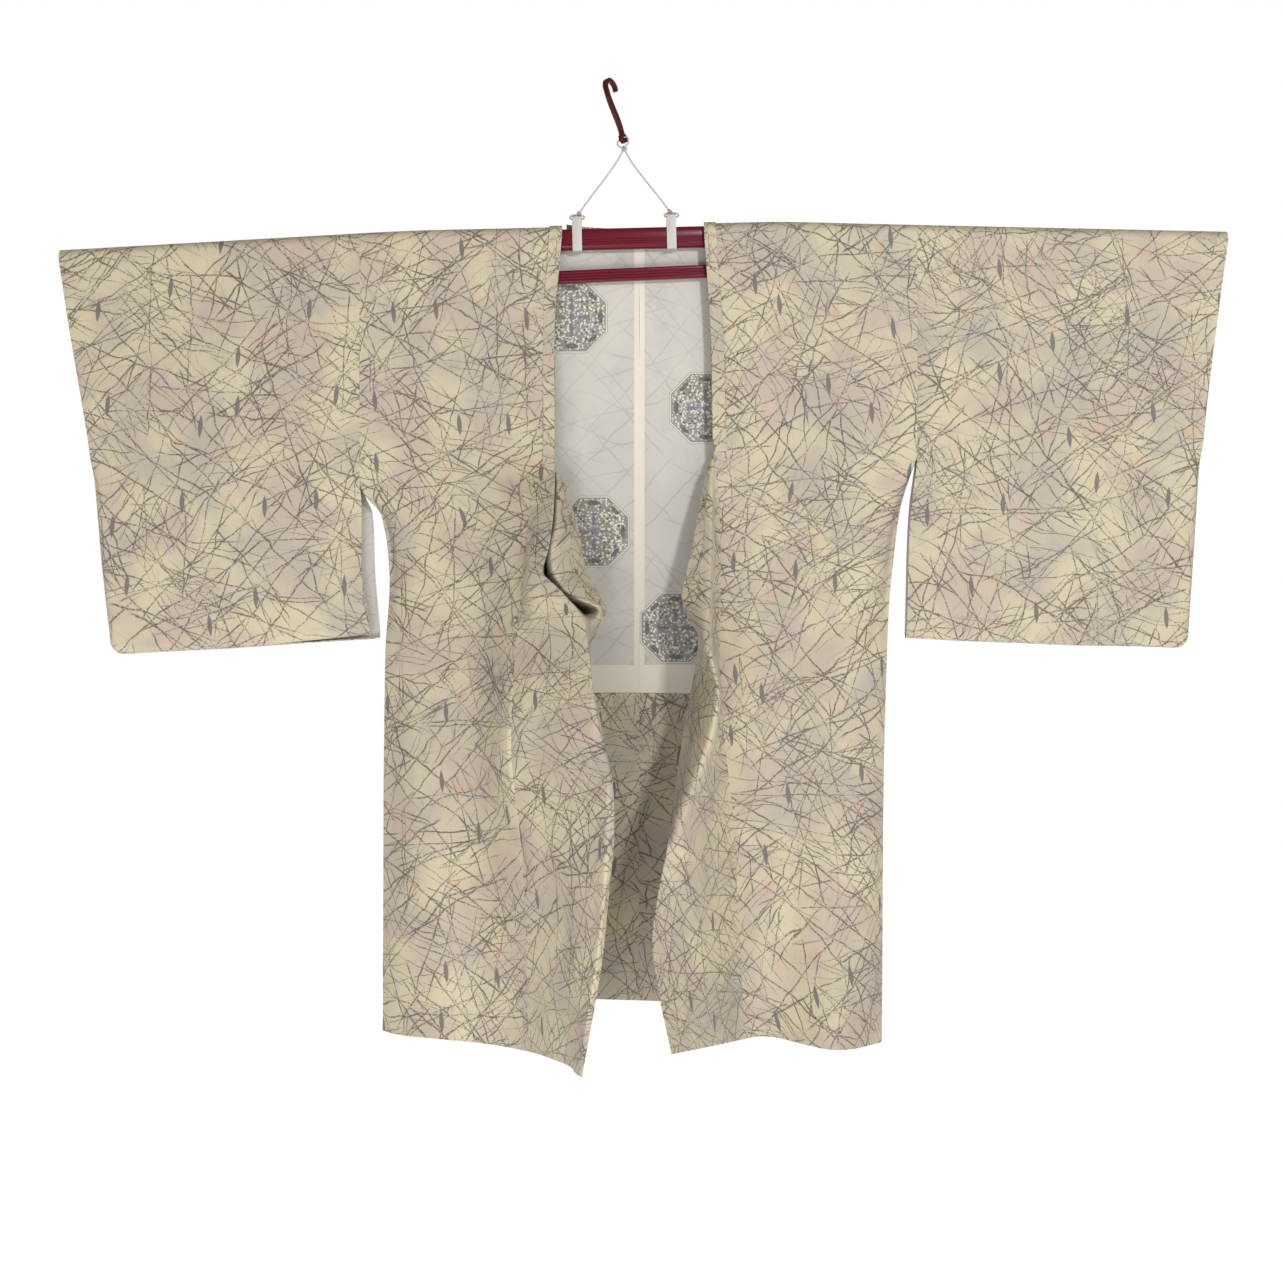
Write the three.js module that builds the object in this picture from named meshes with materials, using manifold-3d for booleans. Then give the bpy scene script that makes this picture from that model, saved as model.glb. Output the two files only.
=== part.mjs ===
// Michiyuki coat of printed silk, open at the front, on a telescopic kimono hanger.
// Millimetres, +Z up, the viewer stands on the -Y side. The origin is where the hook hangs.
// The cloth is worked out from guide lines that run down it: a table row is one height on a line.
import * as THREE from "three";
import { mergeVertices } from "three/addons/utils/BufferGeometryUtils.js";
import Module from "manifold-3d";

const wasm = await Module();
wasm.setup();

// ---- driving sizes ----
const WALL = 1.6; // silk with its lining
const SEAM = 0.4; // gap left between pieces that are sewn together
const STRIP = 1; // thickness of the narrow collar and of the linings
const BAR_HALF = 6; // half the depth of the hanger's tube
const FOLD_HALF = 10.2; // half the depth of the cloth where it folds over the tube, to its middle
const COLLAR = 12; // width of the narrow collar
const CUFF = 235; // length of the cuff's opening, below the shoulder fold
const EDGE_ROUND = 9; // how far from a sewn edge the two layers of a sleeve close up
const CORNER = 13; // radius of a sleeve's outer lower corner
const LINING_FOOT = 684; // drop of the back lining's hem below the hook
const NECK_LEFT = -52; // neck edges at the shoulder
const NECK_RIGHT = 106;
const LEFT_CORNER = 434; // drop of the neck's lower corners, where the overlaps begin
const RIGHT_CORNER = 415;

const COLOUR = {
  silk: 0xd9d0ba,
  lining: 0xe9e6df,
  maroon: 0x7a1f3a,
  white: 0xf1efe8,
  steel: 0x9c9a92,
};

const table = (names, ...rows) =>
  rows.map((row) => Object.fromEntries(names.map((name, i) => [name, row[i]])));
const line = (...rows) => table(["drop", "x", "y"], ...rows);

// The top of the shoulder fold across the coat, from cuff to cuff.
const SHOULDER = table(["x", "drop"], [-620, 188.5], [-230, 166.5], [190, 156.5], [695, 167.5]);

// Left front (the wearer's right), from the armhole and side seam to the neck and overlap seam.
const LEFT_SIDE = line(
  [178, -278, 10.2],
  [446, -278, 10.2],
  [466, -270, 7],
  [480, -257, 2.5],
  [500, -251, 0],
  [560, -245, 0],
  [640, -250, 0],
  [1062, -253, 0],
);
const LEFT_FRONT = {
  turn: line([178, -266, -10.2], [450, -262, -10.5], [500, -240, -10], [600, -234, -11], [1063, -243, -11]),
  bulge: line([174, -212, -10.2], [434, -210, -13], [625, -205, -24], [760, -204, -30], [1064, -193, -38]),
  hollow: line([172, -140, -10.2], [434, -138, -18], [625, -146, -42], [760, -143, -52], [1068, -137, -46]),
  seam: line(
    [170, -52, -10.2],
    [290, -61, -12],
    [434, -60, -30],
    [461, -81, -42],
    [527, -89, -60],
    [625, -98, -86],
    [735, -103, -104],
    [850, -92, -100],
    [1072, -85, -72],
  ),
};
// Left overlap: its top corner droops, so a deep fold runs down from the neck's corner.
const LEFT_OVERLAP = {
  trough: line(
    [434, -60, -30],
    [500, -77, -66],
    [560, -84, -90],
    [620, -66, -110],
    [710, -80, -121],
    [850, -77, -121],
    [900, -67, -118],
    [972, -55, -128],
    [1071, -37, -160],
  ),
  ridge: line(
    [434, -60, -30],
    [452, -60, -44],
    [494, -61, -70],
    [528, -65, -88],
    [550, -71, -96],
    [570, -52, -107],
    [597, -30, -120],
    [631, -21, -138],
    [665, -17, -150],
    [715, -14, -168],
    [780, -16, -172],
    [900, -22, -176],
    [1073, -33, -174],
  ),
  valley: line(
    [434, -60, -30],
    [452, -59, -32],
    [494, -62, -28],
    [528, -68, -28],
    [555, -70, -28],
    [575, -52, -28],
    [592, -31, -34],
    [605, -21, -104],
    [631, -21, -118],
    [665, -17, -135],
    [715, -8, -166],
    [780, -6, -182],
    [900, -12, -187],
    [1073, -31, -184],
  ),
  nose: line(
    [434, -60, -30],
    [452, -55, -44],
    [494, -55, -67],
    [528, -60, -85],
    [555, -56, -94],
    [579, -35, -96],
    [592, -9, -87],
    [604, -13, -93],
    [631, -21, -97],
    [665, -19, -115],
    [715, -6, -155],
    [780, 2, -190],
    [900, -3, -197],
    [1073, -28, -195],
  ),
  edge: line(
    [434, -60, -30],
    [452, -51, -37],
    [511, -33, -45],
    [547, -26, -54],
    [598, -4, -80],
    [614, -10, -75],
    [631, -19, -75],
    [665, -18, -97],
    [709, -9, -141],
    [780, 7, -186],
    [820, 8, -190],
    [880, 3, -189],
    [960, -5, -191],
    [1074, -25, -200],
  ),
};

// Right front (the wearer's left).
const RIGHT_SIDE = line(
  [170, 344, 10.2],
  [418, 344, 10.2],
  [436, 338, 6],
  [468, 328, 0],
  [535, 318, 0],
  [665, 310, 0],
  [1075, 305, 0],
);
const RIGHT_FRONT = {
  turn: line([170, 334, -10.2], [425, 332, -10.5], [480, 316, -10], [665, 300, -11], [1075, 296, -12]),
  crest: line([168, 268, -10.2], [434, 270, -14], [735, 262, -24], [930, 256, -30], [1073, 246, -58]),
  hollow: line([166, 190, -10.2], [434, 205, -12], [735, 205, -18], [930, 186, -22], [1066, 176, -15]),
  seam: line(
    [166, 106, -10.2],
    [290, 114, -11],
    [415, 117, -13],
    [469, 122, -16],
    [560, 124, -20],
    [650, 123, -26],
    [735, 128, -34],
    [801, 135, -39],
    [911, 142, -40],
    [1067, 150, -26],
  ),
};
// Right overlap: it swings forward to a round nose, and its front edge turns back behind it.
const RIGHT_OVERLAP = {
  nose: line(
    [415, 117, -13],
    [448, 114, -28],
    [479, 113, -40],
    [521, 112, -54],
    [556, 110, -64],
    [600, 107, -84],
    [622, 106, -98],
    [645, 111, -112],
    [681, 118, -122],
    [715, 113, -124],
    [765, 97, -132],
    [832, 77, -142],
    [897, 88, -120],
    [1062, 116, -90],
  ),
  edge: line(
    [415, 117, -13],
    [447, 108, -22],
    [519, 94, -44],
    [584, 82, -56],
    [602, 88, -58],
    [621, 99, -58],
    [657, 96, -46],
    [685, 90, -48],
    [734, 81, -68],
    [771, 75, -90],
    [832, 66, -134],
    [897, 53, -158],
    [940, 48, -164],
    [987, 54, -167],
    [1056, 68, -170],
  ),
};

// Back, in two halves that meet at the centre seam.
const BACK = {
  leftTurn: line([178, -266, 10.2], [450, -262, 9], [500, -240, 10], [700, -240, 12], [1060, -241, 16]),
  leftWave: line([172, -112, 10.2], [500, -110, 13], [750, -112, 24], [1036, -118, 54]),
  centre: line([168, 34, 10.2], [500, 34, 11], [700, 34, 15], [1033, 33, 28]),
  rightWave: line([166, 190, 10.2], [500, 186, 12], [750, 178, 15], [1046, 172, 9]),
  rightTurn: line([170, 334, 10.2], [425, 332, 9], [480, 316, 10], [700, 298, 11], [1073, 294, 13]),
};

// Sleeves: both layers share their edges, and y is half the depth between the two layers.
const SLEEVE_LEFT = {
  inner: line([178, -278, 10.2], [446, -278, 10.2], [470, -276, 9], [550, -275, 11], [617, -265, 10.2]),
  innerBehind: line(
    [178, -278, 10.2],
    [446, -278, 10.2],
    [466, -273, 10],
    [482, -266, 10],
    [550, -263, 11],
    [622, -257, 10.2],
  ),
  fold: line([188, -420, 10.2], [400, -412, 13], [632, -405, 9]),
  outer: line([197, -614, 10.2], [281, -601, 11], [420, -578, 12], [540, -567, 10], [640, -556, 8]),
};
const SLEEVE_RIGHT = {
  inner: line([170, 344, 10.2], [418, 344, 10.2], [470, 338, 10], [622, 332, 9]),
  fold: line([172, 500, 10.2], [400, 498, 12], [629, 493, 9]),
  outer: line([177, 691, 10.2], [235, 683, 10], [420, 661, 12], [540, 653, 10], [633, 647, 8]),
};

// ---- curves through the tables ----

// The value at `at` on a smooth curve through the points (keys, values), which never overshoots.
function smooth(keys, values, at) {
  const last = keys.length - 1;
  let k = 0;
  while (k < last - 1 && at > keys[k + 1]) k++;
  const slope = (i) => (values[i + 1] - values[i]) / (keys[i + 1] - keys[i]);
  const tangent = (i) => {
    if (i === 0) return slope(0);
    if (i === last) return slope(last - 1);
    if (slope(i - 1) * slope(i) <= 0) return 0;
    const before = keys[i] - keys[i - 1];
    const after = keys[i + 1] - keys[i];
    const mean = (slope(i - 1) * after + slope(i) * before) / (before + after);
    const most = 3 * Math.min(Math.abs(slope(i - 1)), Math.abs(slope(i)));
    return Math.sign(mean) * Math.min(Math.abs(mean), most);
  };
  const span = keys[k + 1] - keys[k];
  const t = Math.min(Math.max((at - keys[k]) / span, 0), 1);
  const rise = values[k + 1] - values[k];
  const a = tangent(k) * span - rise;
  const b = rise - tangent(k + 1) * span;
  return values[k] + rise * t + t * (1 - t) * (a * (1 - t) + b * t);
}

const column = (rows, name) => rows.map((row) => row[name]);
const down = (guide, name, drop) => smooth(column(guide, "drop"), column(guide, name), drop);

// The height of the shoulder fold's top at x, straight from point to point.
function shoulderDrop(x) {
  const i = Math.max(0, SHOULDER.findIndex((row, k) => k === SHOULDER.length - 2 || x < SHOULDER[k + 1].x));
  const a = SHOULDER[i];
  const b = SHOULDER[i + 1];
  return a.drop + ((x - a.x) / (b.x - a.x)) * (b.drop - a.drop);
}

// A point on a guide: v is 0 where the cloth leaves the fold over the tube and 1 at its foot.
function onGuide(guide, v, start = null) {
  const top = start ?? shoulderDrop(guide[0].x) + WALL / 2 + FOLD_HALF;
  const foot = guide.at(-1).drop;
  const drop = top + v * (foot - top);
  return new THREE.Vector3(down(guide, "x", drop), down(guide, "y", drop), -drop);
}

// A point across a set of guides, with u at each guide's place.
function across(places, points, u) {
  const at = (axis) => smooth(places, points.map((p) => p[axis]), u);
  return new THREE.Vector3(at("x"), at("y"), at("z"));
}

// From v = -1 to 0 the cloth runs from the top of its fold down its side, a quarter of a circle.
function overFold(point, v) {
  const angle = (-v * Math.PI) / 2;
  const side = Math.sign(point.y);
  const rise = FOLD_HALF * Math.sin(angle);
  return new THREE.Vector3(point.x, side * FOLD_HALF * Math.cos(angle), point.z + rise);
}

const mirrorY = (guide) => guide.map((row) => ({ ...row, y: -row.y }));

// ---- cloth pieces ----

// A front with its overlap is one surface: u from 0 at the side to 1 at the seam and 2 at the edge.
function frontSurface(side, front, overlap, cornerDrop) {
  const frontGuides = [mirrorY(side), ...Object.values(front)];
  const overlapGuides = Object.values(overlap);
  const frontPlaces = [0, 0.05, 0.3, 0.64, 1];
  const overlapPlaces = overlapGuides.map((_, i) => 1 + (i + 1) / overlapGuides.length);
  const seam = frontGuides.at(-1);
  const seamTop = shoulderDrop(seam[0].x) + WALL / 2 + FOLD_HALF;
  const corner = (cornerDrop - seamTop) / (seam.at(-1).drop - seamTop);
  const pointAt = (u, v) => {
    const rows = frontGuides.map((guide) => onGuide(guide, Math.max(v, 0)));
    const below = (v - corner) / (1 - corner);
    overlapGuides.forEach((guide) => rows.push(below > 0 ? onGuide(guide, below, cornerDrop) : rows[4]));
    const point = across([...frontPlaces, ...overlapPlaces], rows, u);
    return v < 0 ? overFold(point, v) : point;
  };
  return { pointAt, corner };
}

// The back: u from 0 at the left side seam to 1 at the centre seam and 2 at the right side seam.
function backPoint(u, v) {
  const guides = [LEFT_SIDE, ...Object.values(BACK), RIGHT_SIDE];
  const places = [0, 0.05, 0.5, 1, 1.5, 1.95, 2];
  const point = across(places, guides.map((guide) => onGuide(guide, Math.max(v, 0))), u);
  return v < 0 ? overFold(point, v) : point;
}

// How far open two layers are at a distance from the edge that joins them: a quarter circle.
const closing = (distance) => {
  const share = Math.min(Math.max(distance / EDGE_ROUND, 0), 1);
  return Math.sqrt(1 - (1 - share) ** 2);
};

// One layer of a sleeve: u from 0 at the armhole to 1 at the cuff, side -1 in front and 1 behind.
function sleeveSurface(sleeve, side) {
  const { inner, innerBehind = inner, fold, outer } = sleeve;
  const guides = [side > 0 ? innerBehind : inner, fold, outer];
  return (u, v) => {
    const rows = guides.map((guide) => onGuide(guide, Math.max(v, 0)));
    const point = across([0, 0.42, 1], rows, u);
    const foot = rows.map((_, i) => -guides[i].at(-1).drop);
    const toFoot = point.z - smooth([0, 0.42, 1], foot, u);
    const rounding = Math.max(CORNER - toFoot, 0);
    const cut = CORNER - Math.sqrt(Math.max(CORNER ** 2 - rounding ** 2, 0));
    point.x -= Math.sign(point.x) * cut * u ** 4;
    const toEdge = (1 - u) * Math.abs(rows[2].x - rows[0].x);
    const sewn = Math.min(Math.max((-point.z - shoulderDrop(point.x) - CUFF) / 25, 0), 1);
    const open = Math.min(closing(toFoot), 1 - sewn * (1 - closing(toEdge)));
    point.y *= side * open;
    if (v >= 0) return point;
    point.y = side;
    return overFold(point, v);
  };
}

// The way a surface faces at (u, v), from its slopes along u and v; at v = 0 it is the hanging cloth's.
function normalOf(pointAt, u, v) {
  const step = 1e-6;
  const alongU = pointAt(u + step, v).sub(pointAt(u - step, v));
  const alongV = pointAt(u, v + step).sub(pointAt(u, v === 0 ? v : v - step));
  return alongU.cross(alongV).normalize();
}

// A closed sheet on a surface, u by v, `thick` mm thick with its middle `lift` mm off the surface.
// Its edges stand back by half a seam's gap. `half` keeps it before (-1) or behind (1) the plane y = 0,
// so that a front and a back meet there edge to edge.
function sheet(pointAt, us, vs, { thick = WALL, lift = 0, outward = 1, half = 0 } = {}) {
  const middle = us.map((u) => vs.map((v) => pointAt(u, v)));
  const inset = (edge, inner) => {
    const way = inner.clone().sub(edge);
    return edge.clone().addScaledVector(way.normalize(), SEAM / 2);
  };
  const nu = us.length;
  const nv = vs.length;
  const placed = middle.map((row) => row.map((p) => p.clone()));
  for (let j = 0; j < nv; j++) {
    placed[0][j] = inset(middle[0][j], middle[1][j]);
    placed[nu - 1][j] = inset(middle[nu - 1][j], middle[nu - 2][j]);
  }
  for (let i = 0; i < nu; i++) {
    placed[i][0] = inset(placed[i][0], placed[i][1]);
    placed[i][nv - 1] = inset(placed[i][nv - 1], placed[i][nv - 2]);
  }
  const positions = [];
  [lift + thick / 2, lift - thick / 2].forEach((offset) =>
    us.forEach((u, i) =>
      vs.forEach((v, j) => {
        const p = placed[i][j].clone().addScaledVector(normalOf(pointAt, u, v), offset * outward);
        if (half) p.y = half * Math.max(half * p.y, SEAM / 2);
        positions.push(p.x, p.y, p.z);
      }),
    ),
  );
  const index = [];
  const layer = nu * nv;
  const quad = (a, b, c, d) => index.push(a, b, c, a, c, d);
  for (let i = 0; i < nu - 1; i++)
    for (let j = 0; j < nv - 1; j++) {
      const [a, b, c, d] = [i * nv + j, (i + 1) * nv + j, (i + 1) * nv + j + 1, i * nv + j + 1];
      quad(a, b, c, d);
      quad(layer + a, layer + d, layer + c, layer + b);
    }
  for (let i = 0; i < nu - 1; i++) {
    quad(i * nv, layer + i * nv, layer + (i + 1) * nv, (i + 1) * nv);
    const e = nv - 1;
    quad((i + 1) * nv + e, layer + (i + 1) * nv + e, layer + i * nv + e, i * nv + e);
  }
  for (let j = 0; j < nv - 1; j++) {
    quad(j + 1, layer + j + 1, layer + j, j);
    const e = (nu - 1) * nv;
    quad(e + j, layer + e + j, layer + e + j + 1, e + j + 1);
  }
  if (outward < 0) index.reverse();
  const geometry = new THREE.BufferGeometry();
  geometry.setAttribute("position", new THREE.Float32BufferAttribute(positions, 3));
  geometry.setIndex(index);
  return geometry;
}

const coat = new THREE.Group();

function add(name, geometry, colour = COLOUR.silk, roughness = 0.8, metalness = 0) {
  const material = new THREE.MeshStandardMaterial({ color: colour, roughness, metalness });
  const mesh = new THREE.Mesh(geometry, material);
  mesh.name = name;
  coat.add(mesh);
  return mesh;
}

// ---- fronts, overlaps and their narrow collar; what lies over the tube is a piece of its own ----

const FOLD_STEPS = [-1, -0.72, -0.4, 0];
const share = (from, to, count) =>
  Array.from({ length: count + 1 }, (_, i) => from + ((to - from) * i) / count);
const topOf = (guide) => shoulderDrop(guide[0].x) + WALL / 2 + FOLD_HALF;
const toShares = (drops, guide) => {
  const top = topOf(guide);
  return drops.map((drop) => (drop - top) / (guide.at(-1).drop - top));
};
const ON_CLOTH = WALL / 2 + SEAM + STRIP / 2; // from the middle of a panel to what lies on it

const SIDES = [
  {
    name: "left",
    outward: -1,
    seam: LEFT_FRONT.seam,
    surface: frontSurface(LEFT_SIDE, LEFT_FRONT, LEFT_OVERLAP, LEFT_CORNER),
    drops: [
      439, 447, 460, 478, 496, 514, 530, 546, 560, 573, 583, 591, 598, 605, 615, 631, 650, 675, 705, 740,
      780, 840, 900, 960, 1020, 1072,
    ],
    overlapColumns: 15,
    point: 598,
  },
  {
    name: "right",
    outward: 1,
    seam: RIGHT_FRONT.seam,
    surface: frontSurface(RIGHT_SIDE, RIGHT_FRONT, RIGHT_OVERLAP, RIGHT_CORNER),
    drops: [
      420, 430, 442, 460, 485, 510, 540, 570, 586, 602, 621, 645, 680, 715, 760, 810, 860, 910, 970, 1020,
      1067,
    ],
    overlapColumns: 10,
    point: 586,
  },
];
const COLLAR_FROM = 0.89; // where the narrow collar's inner edge lies across a front
const FRONT_ACROSS = [0, 0.015, 0.04, 0.09, 0.22, 0.4, 0.6, 0.78, COLLAR_FROM, 0.95, 1];

for (const { name, outward, seam, surface, drops, overlapColumns, point } of SIDES) {
  const { pointAt, corner } = surface;
  const below = toShares(drops, seam);
  const upper = share(0, corner, 3).slice(1);
  const onTop = { outward, lift: ON_CLOTH, thick: STRIP };
  const panel = { outward, half: -1 };
  add(`shoulder_${name}_front`, sheet(pointAt, FRONT_ACROSS, FOLD_STEPS, panel));
  add(`front_${name}`, sheet(pointAt, FRONT_ACROSS, [0, ...upper, ...below], panel));
  add(`overlap_${name}`, sheet(pointAt, share(1, 2, overlapColumns), below, { outward }));
  add(`collar_${name}`, sheet(pointAt, [COLLAR_FROM, 0.95, 1], [...FOLD_STEPS, ...upper], onTop));
  const alongTop = toShares(drops.filter((drop) => drop > drops[1] && drop <= point), seam);
  add(`collar_top_${name}`, sheet(pointAt, [2 - 1 / overlapColumns, 2], alongTop, onTop));
}

// ---- back, its collar and its lining ----

const placeOfX = (x) => {
  let low = 0;
  let high = 2;
  for (let i = 0; i < 40; i++) {
    const middle = (low + high) / 2;
    if (backPoint(middle, 0).x < x) low = middle;
    else high = middle;
  }
  return (low + high) / 2;
};
const neckFrom = placeOfX(NECK_LEFT);
const neckTo = placeOfX(NECK_RIGHT);
const LINED = toShares([205, 290, 370, 430, 446, 466, 500, 560, 620, LINING_FOOT], BACK.centre);
const UNLINED = toShares([770, 860, 950, 1033], BACK.centre);
const backDown = [0, ...LINED, ...UNLINED];
const backLeft = [0, 0.015, 0.04, 0.09, 0.3, 0.5, neckFrom, 0.85, 1];
const backRight = [1, 1.12, neckTo, 1.5, 1.7, 1.91, 1.96, 1.985, 2];
add("back_left", sheet(backPoint, backLeft, backDown, { half: 1 }));
add("back_right", sheet(backPoint, backRight, backDown, { half: 1 }));
// Beside the neck the cloth goes on over the tube; within it the back ends just behind the tube.
const besideNeck = (places) => places.filter((u) => u <= neckFrom || u >= neckTo);
add("shoulder_left_back", sheet(backPoint, besideNeck(backLeft), FOLD_STEPS, { half: 1 }));
add("shoulder_right_back", sheet(backPoint, besideNeck(backRight), FOLD_STEPS, { half: 1 }));

// The back collar hides behind the tube but for its left end, which rides up.
const collarBack = (u, v) => {
  const x = NECK_LEFT + 4 + u * (NECK_RIGHT - NECK_LEFT - 8);
  const top = 162 - 5 * (1 - u) ** 6;
  return new THREE.Vector3(x, FOLD_HALF + ON_CLOTH, -top - v * (COLLAR + 8));
};
add("collar_back", sheet(collarBack, share(0, 1, 6), [0, 1], { thick: STRIP, outward: -1 }));

const inside = { lift: -ON_CLOTH, thick: STRIP };
const overBack = (places) => places.filter((u) => u > 0.05 && u < 1.95);
add("lining_left", sheet(backPoint, overBack(backLeft), LINED, inside), COLOUR.lining);
add("lining_right", sheet(backPoint, overBack(backRight), LINED, inside), COLOUR.lining);

// ---- sleeves ----

const SLEEVE_ACROSS = [0, 0.2, 0.42, 0.65, 0.85, 0.95, 0.972, 0.986, 0.995, 1];
const SLEEVE_DOWN = [0, 0.2, 0.42, 0.52, 0.57, 0.6, 0.64, 0.68, 0.75, 0.88, 0.94, 0.97, 0.98, 0.99, 0.996, 1];
for (const [name, sleeve, handed] of [
  ["left", SLEEVE_LEFT, 1],
  ["right", SLEEVE_RIGHT, -1],
])
  for (const [layer, side] of [
    ["front", -1],
    ["back", 1],
  ]) {
    const surface = sleeveSurface(sleeve, side);
    const outward = handed * -side;
    const down = [...FOLD_STEPS, ...SLEEVE_DOWN.slice(1)];
    add(`sleeve_${name}_${layer}`, sheet(surface, SLEEVE_ACROSS, down, { outward, half: side }));
  }
const sleeveBack = sleeveSurface(SLEEVE_LEFT, 1);
const liningRows = SLEEVE_DOWN.filter((v) => v > 0.65 && v < 0.95);
const sleeveLining = sheet(sleeveBack, SLEEVE_ACROSS.slice(0, 2), liningRows, {
  outward: -1,
  lift: -ON_CLOTH,
  thick: STRIP,
});
add("lining_sleeve", sleeveLining, COLOUR.lining);

// ---- snaps: three studs beside the left overlap seam, and their mates inside the right overlap ----

const SNAP = {
  radius: 3.5,
  thick: 1.8,
  across: 0.975, // on the left front
  drops: [455, 603, 738],
  mateAcross: 1.9, // on the right overlap
  mates: [460, 645, 760],
};

// A pressed disc with a round knob, standing on a surface at (u, v): side 1 outside, -1 inside.
function snap(name, { surface, outward }, u, v, side) {
  const { pointAt } = surface;
  const normal = normalOf(pointAt, u, v).multiplyScalar(outward * side);
  const profile = [
    [0, 0],
    [1, 0],
    [1, 0.4],
    [0.55, 0.55],
    [0.4, 1],
    [0, 1],
  ].map(([x, y]) => new THREE.Vector2(x * SNAP.radius, y * SNAP.thick));
  const mesh = add(name, new THREE.LatheGeometry(profile, 12), COLOUR.steel, 0.35, 0.9);
  mesh.position.copy(pointAt(u, v).addScaledVector(normal, WALL / 2 + SEAM));
  mesh.quaternion.setFromUnitVectors(new THREE.Vector3(0, 1, 0), normal);
}
const [leftFront, rightFront] = SIDES;
SNAP.drops.forEach((drop, i) => {
  snap(`snap_${i + 1}`, leftFront, SNAP.across, toShares([drop], leftFront.seam)[0], 1);
});
SNAP.mates.forEach((drop, i) => {
  snap(`stud_${i + 1}`, rightFront, SNAP.mateAcross, toShares([drop], rightFront.seam)[0], -1);
});

// ---- hanger ----

const UNDER_FOLD = WALL + 1.2; // from the top of the shoulder fold down to the bars
const TUBE = { left: -230, right: 190, tall: 24, wall: 1.5, corner: 5.5, grooves: [-0.4, -2.9, -5.4] };
const ARM = { halfDeep: 3.5, tall: 18, inside: 24, corner: 2.5 };
const LOWER = { left: -118, right: 172, drop: 216.5, rise: 0.042, tall: 14, halfDeep: 4.5, corner: 2 };
const GROOVE = 0.7;
const STRAP = { wide: 10.6, wall: 1.2, above: 12.5, places: [-35.6, 70] };
const POST = { wide: 8, deep: 6, places: [-95, 150] };
const HOOK = {
  bend: 7, // inner radius of its bend
  tip: 3.5, // how far its tip comes down past the bend's middle
  thick: 4.4,
  wide: 4.8,
  eyeDrop: 65,
  eyeRadius: 5.6,
  hole: 2.4, // radius of the eye's hole, which the cord runs through
  lean: 0.25, // to the left, per unit of height
  turn: 0.62, // of the bend's plane round the upright, in radians
};
const CORD_RADIUS = 0.9;
const CURVE_STEPS = 3;

// Outline of a bar in depth and height, round-cornered, with grooves along both faces.
function barOutline(halfDeep, tall, corner, grooves = []) {
  const half = tall / 2;
  const shape = new THREE.Shape();
  const face = (side, heights) =>
    heights.forEach((height) => {
      shape.lineTo(side * halfDeep, height - side * GROOVE);
      shape.lineTo(side * (halfDeep - GROOVE), height);
      shape.lineTo(side * halfDeep, height + side * GROOVE);
    });
  shape.moveTo(corner - halfDeep, half);
  shape.quadraticCurveTo(-halfDeep, half, -halfDeep, half - corner);
  face(-1, grooves);
  shape.lineTo(-halfDeep, corner - half);
  shape.quadraticCurveTo(-halfDeep, -half, corner - halfDeep, -half);
  shape.lineTo(halfDeep - corner, -half);
  shape.quadraticCurveTo(halfDeep, -half, halfDeep, corner - half);
  face(1, grooves.toReversed());
  shape.lineTo(halfDeep, half - corner);
  shape.quadraticCurveTo(halfDeep, half, halfDeep - corner, half);
  shape.closePath();
  return shape;
}

// Extrudes an outline of depth and height from one point to another.
function along(name, outline, from, to, colour = COLOUR.maroon, roughness = 0.25) {
  const depth = from.distanceTo(to);
  const options = { depth, bevelEnabled: false, curveSegments: CURVE_STEPS };
  const mesh = add(name, new THREE.ExtrudeGeometry(outline, options), colour, roughness);
  const way = to.clone().sub(from).normalize();
  const back = new THREE.Vector3(0, 1, 0);
  const up = way.clone().cross(back);
  mesh.quaternion.setFromRotationMatrix(new THREE.Matrix4().makeBasis(back, up, way));
  mesh.position.copy(from);
  return mesh;
}
const at = (x, drop) => new THREE.Vector3(x, 0, -drop);

// The tube's middle at x; its top is just under the shoulder fold.
const tubeDrop = (x) => shoulderDrop(x) + UNDER_FOLD + TUBE.tall / 2;
const tubeOutline = barOutline(BAR_HALF, TUBE.tall, TUBE.corner, TUBE.grooves);
const bore = barOutline(BAR_HALF - TUBE.wall, TUBE.tall - 2 * TUBE.wall, TUBE.corner - TUBE.wall);
tubeOutline.holes.push(bore);
along("tube", tubeOutline, at(TUBE.left, tubeDrop(TUBE.left)), at(TUBE.right, tubeDrop(TUBE.right)));

// The arms slide in the tube and droop a little from its mouths.
const ARM_OUTLINE = barOutline(ARM.halfDeep, ARM.tall, ARM.corner);
for (const [name, mouth, end] of [
  ["arm_left", TUBE.left, -580],
  ["arm_right", TUBE.right, 655],
]) {
  const mouthAt = at(mouth, tubeDrop(mouth));
  const endAt = at(end, shoulderDrop(end) + UNDER_FOLD + ARM.tall / 2 + 1);
  const outwards = endAt.clone().sub(mouthAt).normalize();
  const inner = mouthAt.clone().addScaledVector(outwards, -ARM.inside);
  along(name, ARM_OUTLINE, ...(end < mouth ? [endAt, inner] : [inner, endAt]));
}

// The lower bar hangs from the tube on two posts.
const lowerDrop = (x) => LOWER.drop - LOWER.rise * x;
const lowerOutline = barOutline(LOWER.halfDeep, LOWER.tall, LOWER.corner, [3.2, 0, -3.2]);
const lowerEnds = [LOWER.left, LOWER.right].map((x) => at(x, lowerDrop(x)));
along("lower_bar", lowerOutline, ...lowerEnds);
POST.places.forEach((x, i) => {
  const top = tubeDrop(x) + TUBE.tall / 2 + 2 * SEAM;
  const foot = lowerDrop(x) - LOWER.tall / 2 - 2 * SEAM;
  const body = new THREE.BoxGeometry(POST.wide, POST.deep, foot - top);
  const post = add(`post_${i + 1}`, body, COLOUR.maroon, 0.25);
  post.position.copy(at(x, (top + foot) / 2));
});

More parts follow.
